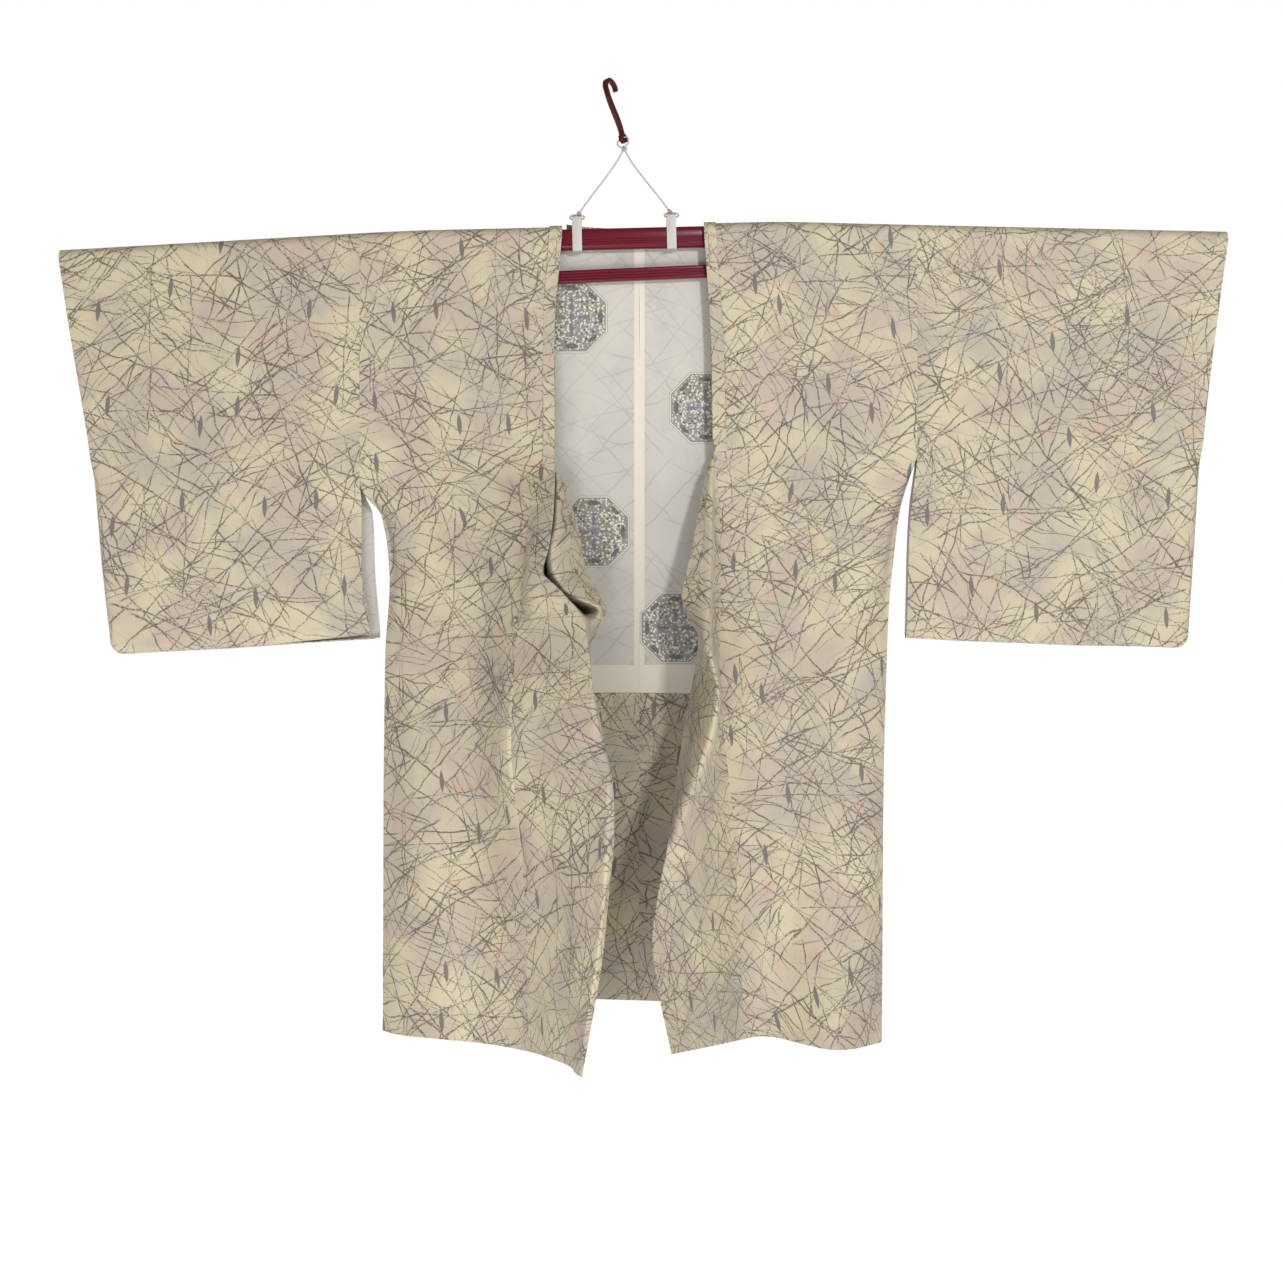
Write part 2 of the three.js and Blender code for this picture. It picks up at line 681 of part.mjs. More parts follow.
// Two straps round the tube carry the cord; each stands clear above the tube.
const strapTall = TUBE.tall + STRAP.above + 2 * STRAP.wall + SEAM;
const strapHalf = BAR_HALF + SEAM + STRAP.wall;
const strapOutline = barOutline(strapHalf, strapTall, 2.5);
strapOutline.holes.push(barOutline(strapHalf - STRAP.wall, strapTall - 2 * STRAP.wall, 1.5));
const strapTops = STRAP.places.map((x, i) => {
  const middle = tubeDrop(x) + TUBE.tall / 2 + SEAM + STRAP.wall - strapTall / 2;
  const slope = (tubeDrop(x + 1) - tubeDrop(x)) * (STRAP.wide / 2);
  const ends = [at(x - STRAP.wide / 2, middle - slope), at(x + STRAP.wide / 2, middle + slope)];
  along(`strap_${i + 1}`, strapOutline, ...ends, COLOUR.white, 0.4);
  return at(x, middle - strapTall / 2 + STRAP.wall / 2);
});

// The hook is a flat strip: a bend over the bearing point, a shank, and an eye for the cord.
const hookShape = new THREE.Shape();
const { bend, tip, thick, eyeDrop, eyeRadius } = HOOK;
const outerBend = bend + thick;
const EYE_OPEN = 1.15; // the angle at which the shank runs into the eye
hookShape.moveTo(bend, -bend - tip);
hookShape.lineTo(bend, -bend);
hookShape.absarc(0, -bend, bend, 0, Math.PI, false);
const shankFoot = [eyeRadius * Math.cos(EYE_OPEN), eyeRadius * Math.sin(EYE_OPEN) - eyeDrop];
hookShape.bezierCurveTo(-bend, -30, 2.5, -35, ...shankFoot);
hookShape.absarc(0, -eyeDrop, eyeRadius, EYE_OPEN, Math.PI - EYE_OPEN, true);
hookShape.bezierCurveTo(-3, -40, -outerBend, -32, -outerBend, -bend);
hookShape.absarc(0, -bend, outerBend, Math.PI, 0, true);
hookShape.lineTo(outerBend - 1, -bend - tip);
hookShape.closePath();
hookShape.holes.push(new THREE.Path().absarc(0, -eyeDrop, HOOK.hole, 0, 2 * Math.PI, false));
const hook = add(
  "hook",
  new THREE.ExtrudeGeometry(hookShape, { depth: HOOK.wide, bevelEnabled: false, curveSegments: 8 }),
  COLOUR.maroon,
  0.25,
);
const hookUp = new THREE.Vector3(-HOOK.lean, 0, 1).normalize();
const hookBack = new THREE.Vector3(Math.sin(HOOK.turn), Math.cos(HOOK.turn), 0);
const hookWay = hookBack.clone().cross(hookUp).normalize();
hookBack.copy(hookUp).cross(hookWay);
hook.quaternion.setFromRotationMatrix(new THREE.Matrix4().makeBasis(hookBack, hookUp, hookWay));
hook.position.copy(hookWay).multiplyScalar(-HOOK.wide / 2);

// The cord runs from strap to strap through the hook's eye, knotted below it and at both straps.
const eye = hookUp.clone().multiplyScalar(-eyeDrop);
const knot = eye.clone().add(new THREE.Vector3(1, 0, -11));
const through = (side, way, dropBy) =>
  eye.clone().addScaledVector(hookWay, side * way).add(new THREE.Vector3(0, 0, -dropBy));
const strapKnots = strapTops.map((top, i) => top.clone().add(new THREE.Vector3(i ? -2 : 2, 0, 4.4)));
const cordRoute = [
  strapKnots[0],
  knot.clone().add(new THREE.Vector3(-1.5, 0, -1)),
  through(-1, 7, 6),
  through(-1, 4.8, 0),
  through(1, 4.8, 0),
  through(1, 7, 6),
  knot.clone().add(new THREE.Vector3(1.5, 0, -1)),
  strapKnots[1],
];
const section = new THREE.Shape().absarc(0, 0, CORD_RADIUS, 0, 2 * Math.PI, false);
const extrudePath = new THREE.CatmullRomCurve3(cordRoute, false, "centripetal");
const rope = new THREE.ExtrudeGeometry(section, { steps: 60, extrudePath, curveSegments: 4 });

// A loop of cord round the top of a strap: a ring bent to an ellipse.
function strapLoop(centre) {
  const [halfWide, halfTall] = [STRAP.wide / 2 + 2.9, STRAP.wall / 2 + 2.1];
  const ring = new THREE.TorusGeometry(halfWide, CORD_RADIUS, 6, 20);
  const places = ring.attributes.position;
  for (let i = 0; i < places.count; i++) {
    const angle = Math.atan2(places.getY(i), places.getX(i));
    const out = Math.hypot(places.getX(i), places.getY(i)) - halfWide;
    const facing = new THREE.Vector2(Math.cos(angle) / halfWide, Math.sin(angle) / halfTall).normalize();
    const x = halfWide * Math.cos(angle) + facing.x * out;
    const z = halfTall * Math.sin(angle) + facing.y * out;
    places.setXYZ(i, centre.x + x, centre.y - places.getZ(i), centre.z + z);
  }
  return ring;
}

const ball = (radius, centre) => new THREE.SphereGeometry(radius, 8, 6).translate(...centre.toArray());
const solidOf = (geometry) => {
  const bare = geometry.clone();
  bare.deleteAttribute("normal");
  bare.deleteAttribute("uv");
  const merged = mergeVertices(bare, 1e-4);
  const vertProperties = merged.attributes.position.array;
  const triVerts = new Uint32Array(merged.index.array);
  return new wasm.Manifold(new wasm.Mesh({ numProp: 3, vertProperties, triVerts }));
};
const knots = [ball(3, knot), ...strapKnots.map((centre) => ball(2.6, centre))];
const cordPieces = [rope, ...knots, ...strapTops.map(strapLoop)];
const cordMesh = cordPieces.map(solidOf).reduce((whole, piece) => whole.add(piece)).getMesh();
const cordGeometry = new THREE.BufferGeometry();
cordGeometry.setAttribute("position", new THREE.BufferAttribute(cordMesh.vertProperties, 3));
cordGeometry.setIndex(new THREE.BufferAttribute(cordMesh.triVerts, 1));
add("cord", cordGeometry, COLOUR.white, 0.9);

export default coat;
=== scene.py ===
"""The looks of a michiyuki coat of printed silk on a telescopic kimono hanger, around its CAD frame."""

import math

import bpy
import numpy as np
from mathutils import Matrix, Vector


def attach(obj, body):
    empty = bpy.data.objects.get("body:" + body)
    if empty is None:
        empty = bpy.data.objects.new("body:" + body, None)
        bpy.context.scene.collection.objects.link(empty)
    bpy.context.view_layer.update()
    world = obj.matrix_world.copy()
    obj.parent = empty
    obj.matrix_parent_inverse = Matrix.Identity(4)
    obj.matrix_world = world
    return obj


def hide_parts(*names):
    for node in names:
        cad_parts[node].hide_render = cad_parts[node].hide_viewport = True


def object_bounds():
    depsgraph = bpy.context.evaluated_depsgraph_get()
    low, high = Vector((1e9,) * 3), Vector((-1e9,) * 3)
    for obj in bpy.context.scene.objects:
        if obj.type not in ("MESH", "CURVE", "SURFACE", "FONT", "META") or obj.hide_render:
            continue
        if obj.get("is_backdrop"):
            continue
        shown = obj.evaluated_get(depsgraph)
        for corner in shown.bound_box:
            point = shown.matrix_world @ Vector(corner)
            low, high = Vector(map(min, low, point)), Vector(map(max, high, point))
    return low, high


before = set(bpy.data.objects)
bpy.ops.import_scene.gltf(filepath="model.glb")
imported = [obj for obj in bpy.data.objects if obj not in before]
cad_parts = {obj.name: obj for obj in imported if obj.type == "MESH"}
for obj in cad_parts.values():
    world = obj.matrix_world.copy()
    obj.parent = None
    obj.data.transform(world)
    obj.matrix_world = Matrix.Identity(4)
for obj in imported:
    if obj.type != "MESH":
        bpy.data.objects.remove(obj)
cad_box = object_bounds()

# Camera, light and floor.
# A camera 2.4 m in front of the coat, a lamp high on its right, a weak one low in front, and pale warm
# light all round, which the camera sees as a white wall.
camera = bpy.data.objects.new("camera", bpy.data.cameras.new("camera"))
camera.data.lens = 60.08
camera.data.sensor_width = 36
camera.location = (0.037, -2.4, -0.627)
camera.rotation_euler = (math.pi / 2, 0, 0)
bpy.context.scene.collection.objects.link(camera)
bpy.context.scene.camera = camera
bpy.context.scene.view_settings.view_transform = "Standard"

for name, energy, size, place, aim in [
    ("window", 50, 0.3, (1.2, -2.9, 0.5), (0.0, 0, -0.7)),
    ("low", 11, 0.7, (-0.4, -1.7, -1.3), (0, 0, -1)),
]:
    lamp = bpy.data.objects.new(name, bpy.data.lights.new(name, "AREA"))
    lamp.data.energy = energy
    lamp.data.size = size
    lamp.location = place
    way = np.array(place) - np.array(aim)
    lamp.rotation_euler = (math.atan2(math.hypot(way[0], way[1]), way[2]), 0, math.atan2(way[0], -way[1]))
    bpy.context.scene.collection.objects.link(lamp)

world = bpy.data.worlds.new("room")
bpy.context.scene.world = world
world.use_nodes = True
WALL_LIGHT = (0.335, 0.31, 0.275, 1)
seen = world.node_tree.nodes.new("ShaderNodeLightPath").outputs["Is Camera Ray"]
wall = world.node_tree.nodes.new("ShaderNodeMix")
wall.data_type = "RGBA"
wall.inputs[6].default_value = WALL_LIGHT
wall.inputs[7].default_value = (1, 1, 1, 1)
world.node_tree.links.new(seen, wall.inputs[0])
world.node_tree.links.new(wall.outputs[2], world.node_tree.nodes["Background"].inputs["Color"])

FLOOR_DROP = 1.5
corners = [(-9, -9), (9, -9), (9, 9), (-9, 9)]
floor_mesh = bpy.data.meshes.new("floor")
floor_mesh.from_pydata([(x, y, -FLOOR_DROP) for x, y in corners], [], [(0, 1, 2, 3)])
floor = bpy.data.objects.new("floor", floor_mesh)
bpy.context.scene.collection.objects.link(floor)
plaster = bpy.data.materials.new("pale_floor")
plaster.use_nodes = True
plaster.node_tree.nodes["Principled BSDF"].inputs["Base Color"].default_value = (0.9, 0.9, 0.9, 1)
plaster.node_tree.nodes["Principled BSDF"].inputs["Roughness"].default_value = 0.9
plaster.node_tree.nodes["Principled BSDF"].inputs["Emission Color"].default_value = (1, 1, 1, 1)
plaster.node_tree.nodes["Principled BSDF"].inputs["Emission Strength"].default_value = 0.75
floor_mesh.materials.append(plaster)
floor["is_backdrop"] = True


# Printed silk.
# Cream and beige crepe, printed with a network of thin broken twig lines, short dark spindles and a
# few touches of coral, green and lilac. The cloth's own UV map is in metres along its width and length.
def step(tree, kind, inputs=(), **settings):
    """Adds a node, sets its settings, and fills its inputs, each a socket to link or a value."""
    made = tree.nodes.new(kind)
    for key, value in settings.items():
        setattr(made, key, value)
    for key, value in dict(inputs).items():
        if isinstance(value, bpy.types.NodeSocket):
            tree.links.new(value, made.inputs[key])
        else:
            made.inputs[key].default_value = value
    return made


def sums(tree, operation, *values):
    """The result of one Math node."""
    return step(tree, "ShaderNodeMath", dict(enumerate(values)), operation=operation).outputs[0]


def rise(tree, value, low, high):
    """0 below low and 1 above high, smooth between; high may be the smaller one."""
    inputs = {"Value": value, "From Min": low, "From Max": high}
    made = step(tree, "ShaderNodeMapRange", inputs, interpolation_type="SMOOTHSTEP")
    return made.outputs["Result"]


def cloud(tree, place, scale, detail=2.0, rough=0.5, seed=0.0):
    """Noise from 0 to 1 at a place, with its seed as a fourth coordinate."""
    inputs = {"Vector": place, "Scale": scale, "Detail": detail, "Roughness": rough, "W": seed}
    return step(tree, "ShaderNodeTexNoise", inputs, noise_dimensions="4D").outputs["Fac"]


def blended(tree, share, first, second):
    """A mix of two colours, by a share from 0 to 1."""
    made = step(tree, "ShaderNodeMix", {"Factor": share}, data_type="RGBA")
    for key, value in ((6, first), (7, second)):
        if isinstance(value, bpy.types.NodeSocket):
            tree.links.new(value, made.inputs[key])
        else:
            made.inputs[key].default_value = (*value, 1)
    return made.outputs[2]


def new_finish(name, roughness, sheen=0.0):
    """A material with its Principled shader's plain values set, and its tree and shader."""
    material = bpy.data.materials.new(name)
    material.use_nodes = True
    shader = material.node_tree.nodes["Principled BSDF"]
    shader.inputs["Roughness"].default_value = roughness
    shader.inputs["Sheen Weight"].default_value = sheen
    shader.inputs["Sheen Roughness"].default_value = 0.4
    return material, material.node_tree, shader


# angle in degrees, spacing in metres, half width in metres, seed, share left out by the brush
TWIG_LINES = [
    (17, 0.034, 0.00060, 1.0, 0.46),
    (41, 0.030, 0.00066, 2.0, 0.45),
    (56, 0.034, 0.00072, 3.0, 0.44),
    (68, 0.038, 0.00066, 4.0, 0.46),
    (84, 0.042, 0.00060, 5.0, 0.48),
    (107, 0.038, 0.00060, 6.0, 0.47),
    (122, 0.033, 0.00072, 7.0, 0.44),
    (138, 0.030, 0.00066, 8.0, 0.45),
    (161, 0.036, 0.00060, 9.0, 0.47),
    (178, 0.048, 0.00055, 10.0, 0.50),
    (28, 0.013, 0.00036, 11.0, 0.53),
    (49, 0.015, 0.00036, 12.0, 0.54),
    (75, 0.016, 0.00034, 13.0, 0.54),
    (98, 0.015, 0.00034, 14.0, 0.54),
    (114, 0.014, 0.00036, 15.0, 0.54),
    (148, 0.013, 0.00036, 16.0, 0.53),
]
SPINDLE_CELL = (0.085, 0.105)  # metres of cloth to each spindle
SPINDLE_HALF = (0.0027, 0.0128)
TOUCHES = [(0.62, 0.2, 0.12), (0.28, 0.4, 0.3), (0.3, 0.26, 0.42), (0.7, 0.42, 0.34)]


def twigs(tree, place, patchy, families):
    """1 on the lines and 0 between: the union of families of parallel lines at uneven distances, bent a
    little by noise, of uneven width, and broken off by clouds."""
    warp_noise = {"Vector": place, "Scale": 16.0, "Detail": 3.0, "Roughness": 0.55}
    warp = step(tree, "ShaderNodeTexNoise", warp_noise).outputs["Color"]
    centred = step(tree, "ShaderNodeVectorMath", {0: warp, 1: (0.5, 0.5, 0.5)}, operation="SUBTRACT")
    scaled = step(tree, "ShaderNodeVectorMath", {0: centred.outputs[0], "Scale": 0.02}, operation="SCALE")
    bent = step(tree, "ShaderNodeVectorMath", {0: place, 1: scaled.outputs[0]}, operation="ADD").outputs[0]
    ink = None
    for angle, spacing, half, seed, left_out in families:
        turn = {"Vector": bent, "Rotation": (0, 0, math.radians(angle)), "Location": (seed * 1.7, 0, 0)}
        turned = step(tree, "ShaderNodeMapping", turn).outputs[0]
        across = step(tree, "ShaderNodeSeparateXYZ", {0: turned}).outputs[0]
        cells = {"W": across, "Scale": 1 / spacing, "Randomness": 1.0}
        lines = step(tree, "ShaderNodeTexVoronoi", cells, voronoi_dimensions="1D").outputs["Distance"]
        away = sums(tree, "MULTIPLY", lines, spacing)
        width = sums(tree, "MULTIPLY_ADD", patchy, half * 1.6, half * 0.35)
        stroke = rise(tree, away, sums(tree, "MULTIPLY", width, 1.6), sums(tree, "MULTIPLY", width, 0.4))
        kept = rise(tree, cloud(tree, turned, 9.0, 1.0, 0.5, seed), left_out, left_out + 0.05)
        stroke = sums(tree, "MULTIPLY", stroke, kept)
        ink = stroke if ink is None else sums(tree, "MAXIMUM", ink, stroke)
    return ink


def printed_silk(name):
    """Ground colours by large clouds, crossed by twigs that are darker and lighter in places, with
    cell-based spindles and touches; the bump is a fine crepe."""
    material, tree, shader = new_finish(name, 0.62, 0.25)
    shader.inputs["Sheen Tint"].default_value = (1, 0.98, 0.92, 1)
    place = step(tree, "ShaderNodeUVMap", uv_map="cloth").outputs["UV"]
    grain = cloud(tree, place, 420.0, 1.0, 0.5, 3.0)
    patchy = cloud(tree, place, 24.0, 2.0, 0.6, 4.0)
    ink = twigs(tree, place, patchy, TWIG_LINES)
    broken = rise(tree, sums(tree, "MULTIPLY_ADD", patchy, 0.5, grain), 0.55, 0.85)
    ink = sums(tree, "MULTIPLY", ink, sums(tree, "MULTIPLY_ADD", broken, 0.75, 0.2))

    def scattered(cell, seed):
        """Each cell's own random point and colour, and the way from that point in metres."""
        size = (1 / cell[0], 1 / cell[1], 1)
        placing = {"Vector": place, "Scale": size, "Location": (seed, seed, 0)}
        spread = step(tree, "ShaderNodeMapping", placing)
        inputs = {"Vector": spread.outputs[0], "Scale": 1.0, "Randomness": 0.8}
        cells = step(tree, "ShaderNodeTexVoronoi", inputs, voronoi_dimensions="2D")
        pair = {0: spread.outputs[0], 1: cells.outputs["Position"]}
        way = step(tree, "ShaderNodeVectorMath", pair, operation="SUBTRACT").outputs[0]
        back = step(tree, "ShaderNodeVectorMath", {0: way, 1: (*cell, 1)}, operation="MULTIPLY").outputs[0]
        parts = step(tree, "ShaderNodeSeparateXYZ", {0: back})
        return parts.outputs[0], parts.outputs[1], cells.outputs["Color"]

    dx, dy, _ = scattered(SPINDLE_CELL, 3.3)
    slanted = sums(tree, "MULTIPLY_ADD", dy, 0.08, dx)
    wide = sums(tree, "DIVIDE", sums(tree, "ABSOLUTE", slanted), SPINDLE_HALF[0])
    tall = sums(tree, "POWER", sums(tree, "DIVIDE", sums(tree, "ABSOLUTE", dy), SPINDLE_HALF[1]), 2.0)
    spindle = rise(tree, sums(tree, "ADD", wide, tall), 1.15, 0.8)

    tx, ty, tint = scattered((0.05, 0.06), 7.1)
    squared = sums(tree, "ADD", sums(tree, "MULTIPLY", tx, tx), sums(tree, "MULTIPLY", ty, ty))
    reach = sums(tree, "POWER", squared, 0.5)
    dab = rise(tree, sums(tree, "MULTIPLY_ADD", grain, 0.012, reach), 0.0135, 0.009)
    choice = step(tree, "ShaderNodeSeparateColor", {0: tint}).outputs[0]
    touch = TOUCHES[0]
    for i, colour in enumerate(TOUCHES[1:], 1):
        touch = blended(tree, sums(tree, "GREATER_THAN", choice, i / len(TOUCHES)), touch, colour)

    yellow = rise(tree, cloud(tree, place, 13.0, 2.0, 0.5, 1.0), 0.4, 0.6)
    grey = rise(tree, cloud(tree, place, 10.0, 3.0, 0.6, 2.0), 0.46, 0.68)
    ground = blended(tree, yellow, (0.42, 0.35, 0.28), (0.5, 0.445, 0.305))
    ground = blended(tree, sums(tree, "MULTIPLY", grey, 0.8), ground, (0.35, 0.325, 0.275))
    drawn = step(tree, "ShaderNodeMapping", {"Vector": place, "Scale": (380, 90, 1)}).outputs[0]
    fibre = cloud(tree, drawn, 1.0, 3.0, 0.7, 6.0)
    speckle = sums(tree, "MULTIPLY", rise(tree, fibre, 0.5, 0.72), 0.3)
    ground = blended(tree, speckle, ground, (0.25, 0.24, 0.205))
    colour = blended(tree, sums(tree, "MULTIPLY", dab, 0.2), ground, touch)
    warm_ink = blended(tree, patchy, (0.036, 0.032, 0.034), (0.062, 0.056, 0.047))
    colour = blended(tree, sums(tree, "MULTIPLY", ink, 0.95), colour, warm_ink)
    colour = blended(tree, sums(tree, "MULTIPLY", spindle, 0.92), colour, (0.125, 0.105, 0.105))
    tree.links.new(colour, shader.inputs["Base Color"])

    crepe = cloud(tree, place, 900.0, 1.0, 0.5, 9.0)
    slub = cloud(tree, place, 70.0, 2.0, 0.5, 8.0)
    height = sums(tree, "MULTIPLY_ADD", slub, 1.5, crepe)
    bump = step(tree, "ShaderNodeBump", {"Height": height, "Strength": 0.12, "Distance": 0.0006})
    tree.links.new(bump.outputs[0], shader.inputs["Normal"])
    return material


silk = printed_silk("printed_silk")


# The shell of a panel.
# Each panel is a thin closed shell. Its form runs over guide lines that hang down the cloth, in
# millimetres: drop below the hook, x and y. The top is folded over the hanger's tube.
def guide(*rows):
    """A guide line's table as an array."""
    return np.array(rows, float)


FOLD_HALF = 10.2  # half the depth of the fold over the tube
WALL = 1.6  # thickness of a panel's solid
shoulder = guide((-620, 188.5), (-230, 166.5), (190, 156.5), (695, 167.5))  # x and drop of the fold's top


def smooth(keys, values, at):
    """A cubic through (keys, values) with weighted mean slopes, held flat at each turn, at many places."""
    keys, values, at = np.asarray(keys, float), np.asarray(values, float), np.asarray(at, float)
    span = np.diff(keys).reshape(-1, *[1] * (values.ndim - 1))
    slope = np.diff(values, axis=0) / span
    before, after, low, high = span[:-1], span[1:], slope[:-1], slope[1:]
    mean = (low * after + high * before) / (before + after)
    most = 3 * np.minimum(np.abs(low), np.abs(high))
    inner = np.where(low * high <= 0, 0, np.sign(mean) * np.minimum(np.abs(mean), most))
    tangent = np.concatenate([slope[:1], inner, slope[-1:]])
    k = np.clip(np.searchsorted(keys, at, side="left") - 1, 0, len(keys) - 2)
    wide = span[k]
    t = np.clip((at - keys[k]) / (keys[k + 1] - keys[k]), 0, 1).reshape(wide.shape[:1] + wide.shape[1:])
    up = values[k + 1] - values[k]
    a, b = tangent[k] * wide - up, up - tangent[k + 1] * wide
    return values[k] + up * t + t * (1 - t) * (a * (1 - t) + b * t)


def shoulder_drop(x):
    """The drop of the fold's top, straight between the shoulder line's points."""
    return np.interp(x, shoulder[:, 0], shoulder[:, 1])


def top_of(line):
    """The drop where a guide leaves the fold."""
    return shoulder_drop(line[0, 1]) + WALL / 2 + FOLD_HALF


def on_guide(line, v, start=None):
    """Points down a guide for shares v of the way from its top to its foot."""
    top = top_of(line) if start is None else start
    drop = top + np.maximum(v, 0) * (line[-1, 0] - top)
    return np.column_stack([smooth(line[:, 0], line[:, 1:], drop), -drop])


def folded(points, v):
    """Where v is below 0, points climb a quarter circle from the foot of the fold to its top."""
    angle = -np.minimum(v, 0) * math.pi / 2
    side = np.sign(points[..., 1])
    made = points.copy()
    made[..., 1] = np.where(v < 0, side * FOLD_HALF * np.cos(angle), points[..., 1])
    made[..., 2] += FOLD_HALF * np.sin(angle)
    return made


def outward_of(points, way):
    """Unit normals of a grid of points, from its differences both ways."""
    normals = np.cross(np.gradient(points, axis=0), np.gradient(points, axis=1)) * way
    return normals / np.maximum(np.linalg.norm(normals, axis=2, keepdims=True), 1e-9)


def flat_of(points, origin=(0, 0)):
    """Metres across and down the flat cloth: distances along each row, and mean ones down the columns."""
    across = np.linalg.norm(np.diff(points, axis=0), axis=2)
    down = np.linalg.norm(np.diff(points, axis=1), axis=2).mean(0)
    s = np.concatenate([0 * across[:1], np.cumsum(across, axis=0)])
    t = np.concatenate([[0], np.cumsum(down)])
    return np.stack([s + origin[0], np.broadcast_to(-t - origin[1], s.shape)], -1) / 1000


def creased(points, way, creases, margin=0.03):
    """Moves points out along their normals by soft ridges: each row gives a ridge's two ends as x and
    drop, its half width and its height, and fades at its ends, at the panel's side edges and in the fold."""
    x, drop = points[..., 0], -points[..., 2]
    out = np.zeros_like(x)
    for i, (x0, d0, x1, d1, width, height) in enumerate(creases):
        length = math.hypot(x1 - x0, d1 - d0)
        along = ((x - x0) * (x1 - x0) + (drop - d0) * (d1 - d0)) / length**2
        aside = ((x - x0) * (d1 - d0) - (drop - d0) * (x1 - x0)) / length
        aside = aside + 0.35 * width * np.sin(along * 5 + i * 1.9)
        ends = np.sin(np.clip(along, 0, 1) * math.pi) ** 0.7
        out += height * np.exp(-((aside / width) ** 2)) * ends * (1 + 0.25 * np.sin(along * 9 + i))
    out += 0.5 * np.sin(x / 31 + drop / 83) * np.sin(drop / 47 - x / 67)
    u = np.linspace(0, 1, len(points))[:, None]
    edge = np.clip(np.minimum(u, 1 - u) / margin, 0, 1)
    below = np.clip((drop - 190) / 60, 0, 1)
    return points + outward_of(points, way) * (out * edge * below)[..., None]


def shell(name, points, way, flat, faces_out, faces_in, thick=1.3, lift=0.0):
    """A closed wall on a grid of points: two layers half the thickness either side, joined at the rim."""
    nu, nv = points.shape[:2]
    normals = outward_of(points, way)
    layers = [points + normals * (lift + side * thick / 2) for side in (1, -1)]
    places = np.concatenate([layer.reshape(-1, 3) for layer in layers]) / 1000
    i, j = (a.ravel() for a in np.meshgrid(np.arange(nu - 1), np.arange(nv - 1), indexing="ij"))
    a, b, c, d = i * nv + j, (i + 1) * nv + j, (i + 1) * nv + j + 1, i * nv + j + 1
    under = nu * nv
    top = np.column_stack([a, b, c, d])
    bottom = np.column_stack([a, d, c, b]) + under
    ring = np.concatenate([
        np.arange(nu) * nv,
        (nu - 1) * nv + np.arange(1, nv),
        np.arange(nu - 2, -1, -1) * nv + nv - 1,
        np.arange(nv - 2, 0, -1),
    ])
    after = np.roll(ring, -1)
    rim = np.column_stack([ring, ring + under, after + under, after])
    quads = np.concatenate([top, rim, bottom])
    if way < 0:
        quads = quads[:, ::-1]
    mesh = bpy.data.meshes.new(name + "_cloth")
    mesh.from_pydata(places.tolist(), [], quads.tolist())
    uv = np.concatenate([flat.reshape(-1, 2)] * 2)
    corner = np.empty(len(mesh.loops), np.int32)
    mesh.loops.foreach_get("vertex_index", corner)
    mesh.uv_layers.new(name="cloth").data.foreach_set("uv", uv[corner].astype(np.float32).ravel())
    mesh.materials.append(faces_out)
    mesh.materials.append(faces_in)
    slots = np.zeros(len(quads), np.int32)
    slots[len(quads) - len(bottom):] = 1
    mesh.polygons.foreach_set("material_index", slots)
    mesh.shade_smooth()
    mesh.set_sharp_from_angle(angle=math.radians(65))
    piece = bpy.data.objects.new(name + "_cloth", mesh)
    bpy.context.scene.collection.objects.link(piece)
    return piece


def hang(piece, node, slot, flat, area, rests_on, with_pieces=()):
    """Gives a finished sheet its body and hides the CAD node it stands for; its slot and its cut are not
    used.
    """
    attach(piece, "root")
    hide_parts(*([node] if isinstance(node, str) else node))


# Lining.
# Pale plain-woven silk, faintly translucent, with woven octagon medallions of small flower lozenges.
MEDALLIONS = [  # centres, x and drop in millimetres
    (-42, 262), (108, 364), (-17, 503), (75, 611), (-150, 380), (-170, 600), (215, 250), (235, 520),
]
MEDALLION_REACH = 0.0405  # from its middle to its sides
MEDALLION_LINES = (0.0378, 0.0384, 0.0402)  # inner line, start of the pale border, outer line
SLANT = 0.7071  # cosine of 45 degrees
STRIPE = (0.034, 0.0058)  # middle and half width of the plain stripe along the centre seam
BAND_TOP = 0.653  # drop where the plain band along the lining's hem begins
# A medallion's figures in one eighth of it: place along and across its rays, half sizes, kind of thread.
# On its four straight rays, then on its four slanting ones.
STRAIGHT_FIGURES = [
    (0.0325, 0.0, 0.0028, 0.0078, "dark"), (0.0275, 0.0065, 0.0016, 0.0016, "dark"),
    (0.0125, 0.0, 0.0062, 0.0022, "violet"), (0.0195, 0.0, 0.0016, 0.0042, "violet"),
    (0.0, 0.0, 0.0036, 0.0036, "violet"),
]
SLANTED_FIGURES = [
    (0.0335, 0.0, 0.0026, 0.0066, "dark"), (0.0285, 0.0055, 0.0015, 0.0015, "dark"),
    (0.0205, 0.0, 0.0014, 0.0014, "dark"), (0.0205, 0.0042, 0.0013, 0.0013, "dark"),
    (0.0165, 0.0, 0.0013, 0.0013, "dark"), (0.0247, 0.0, 0.0013, 0.0013, "dark"),
    (0.0095, 0.0, 0.0026, 0.0011, "violet"),
]


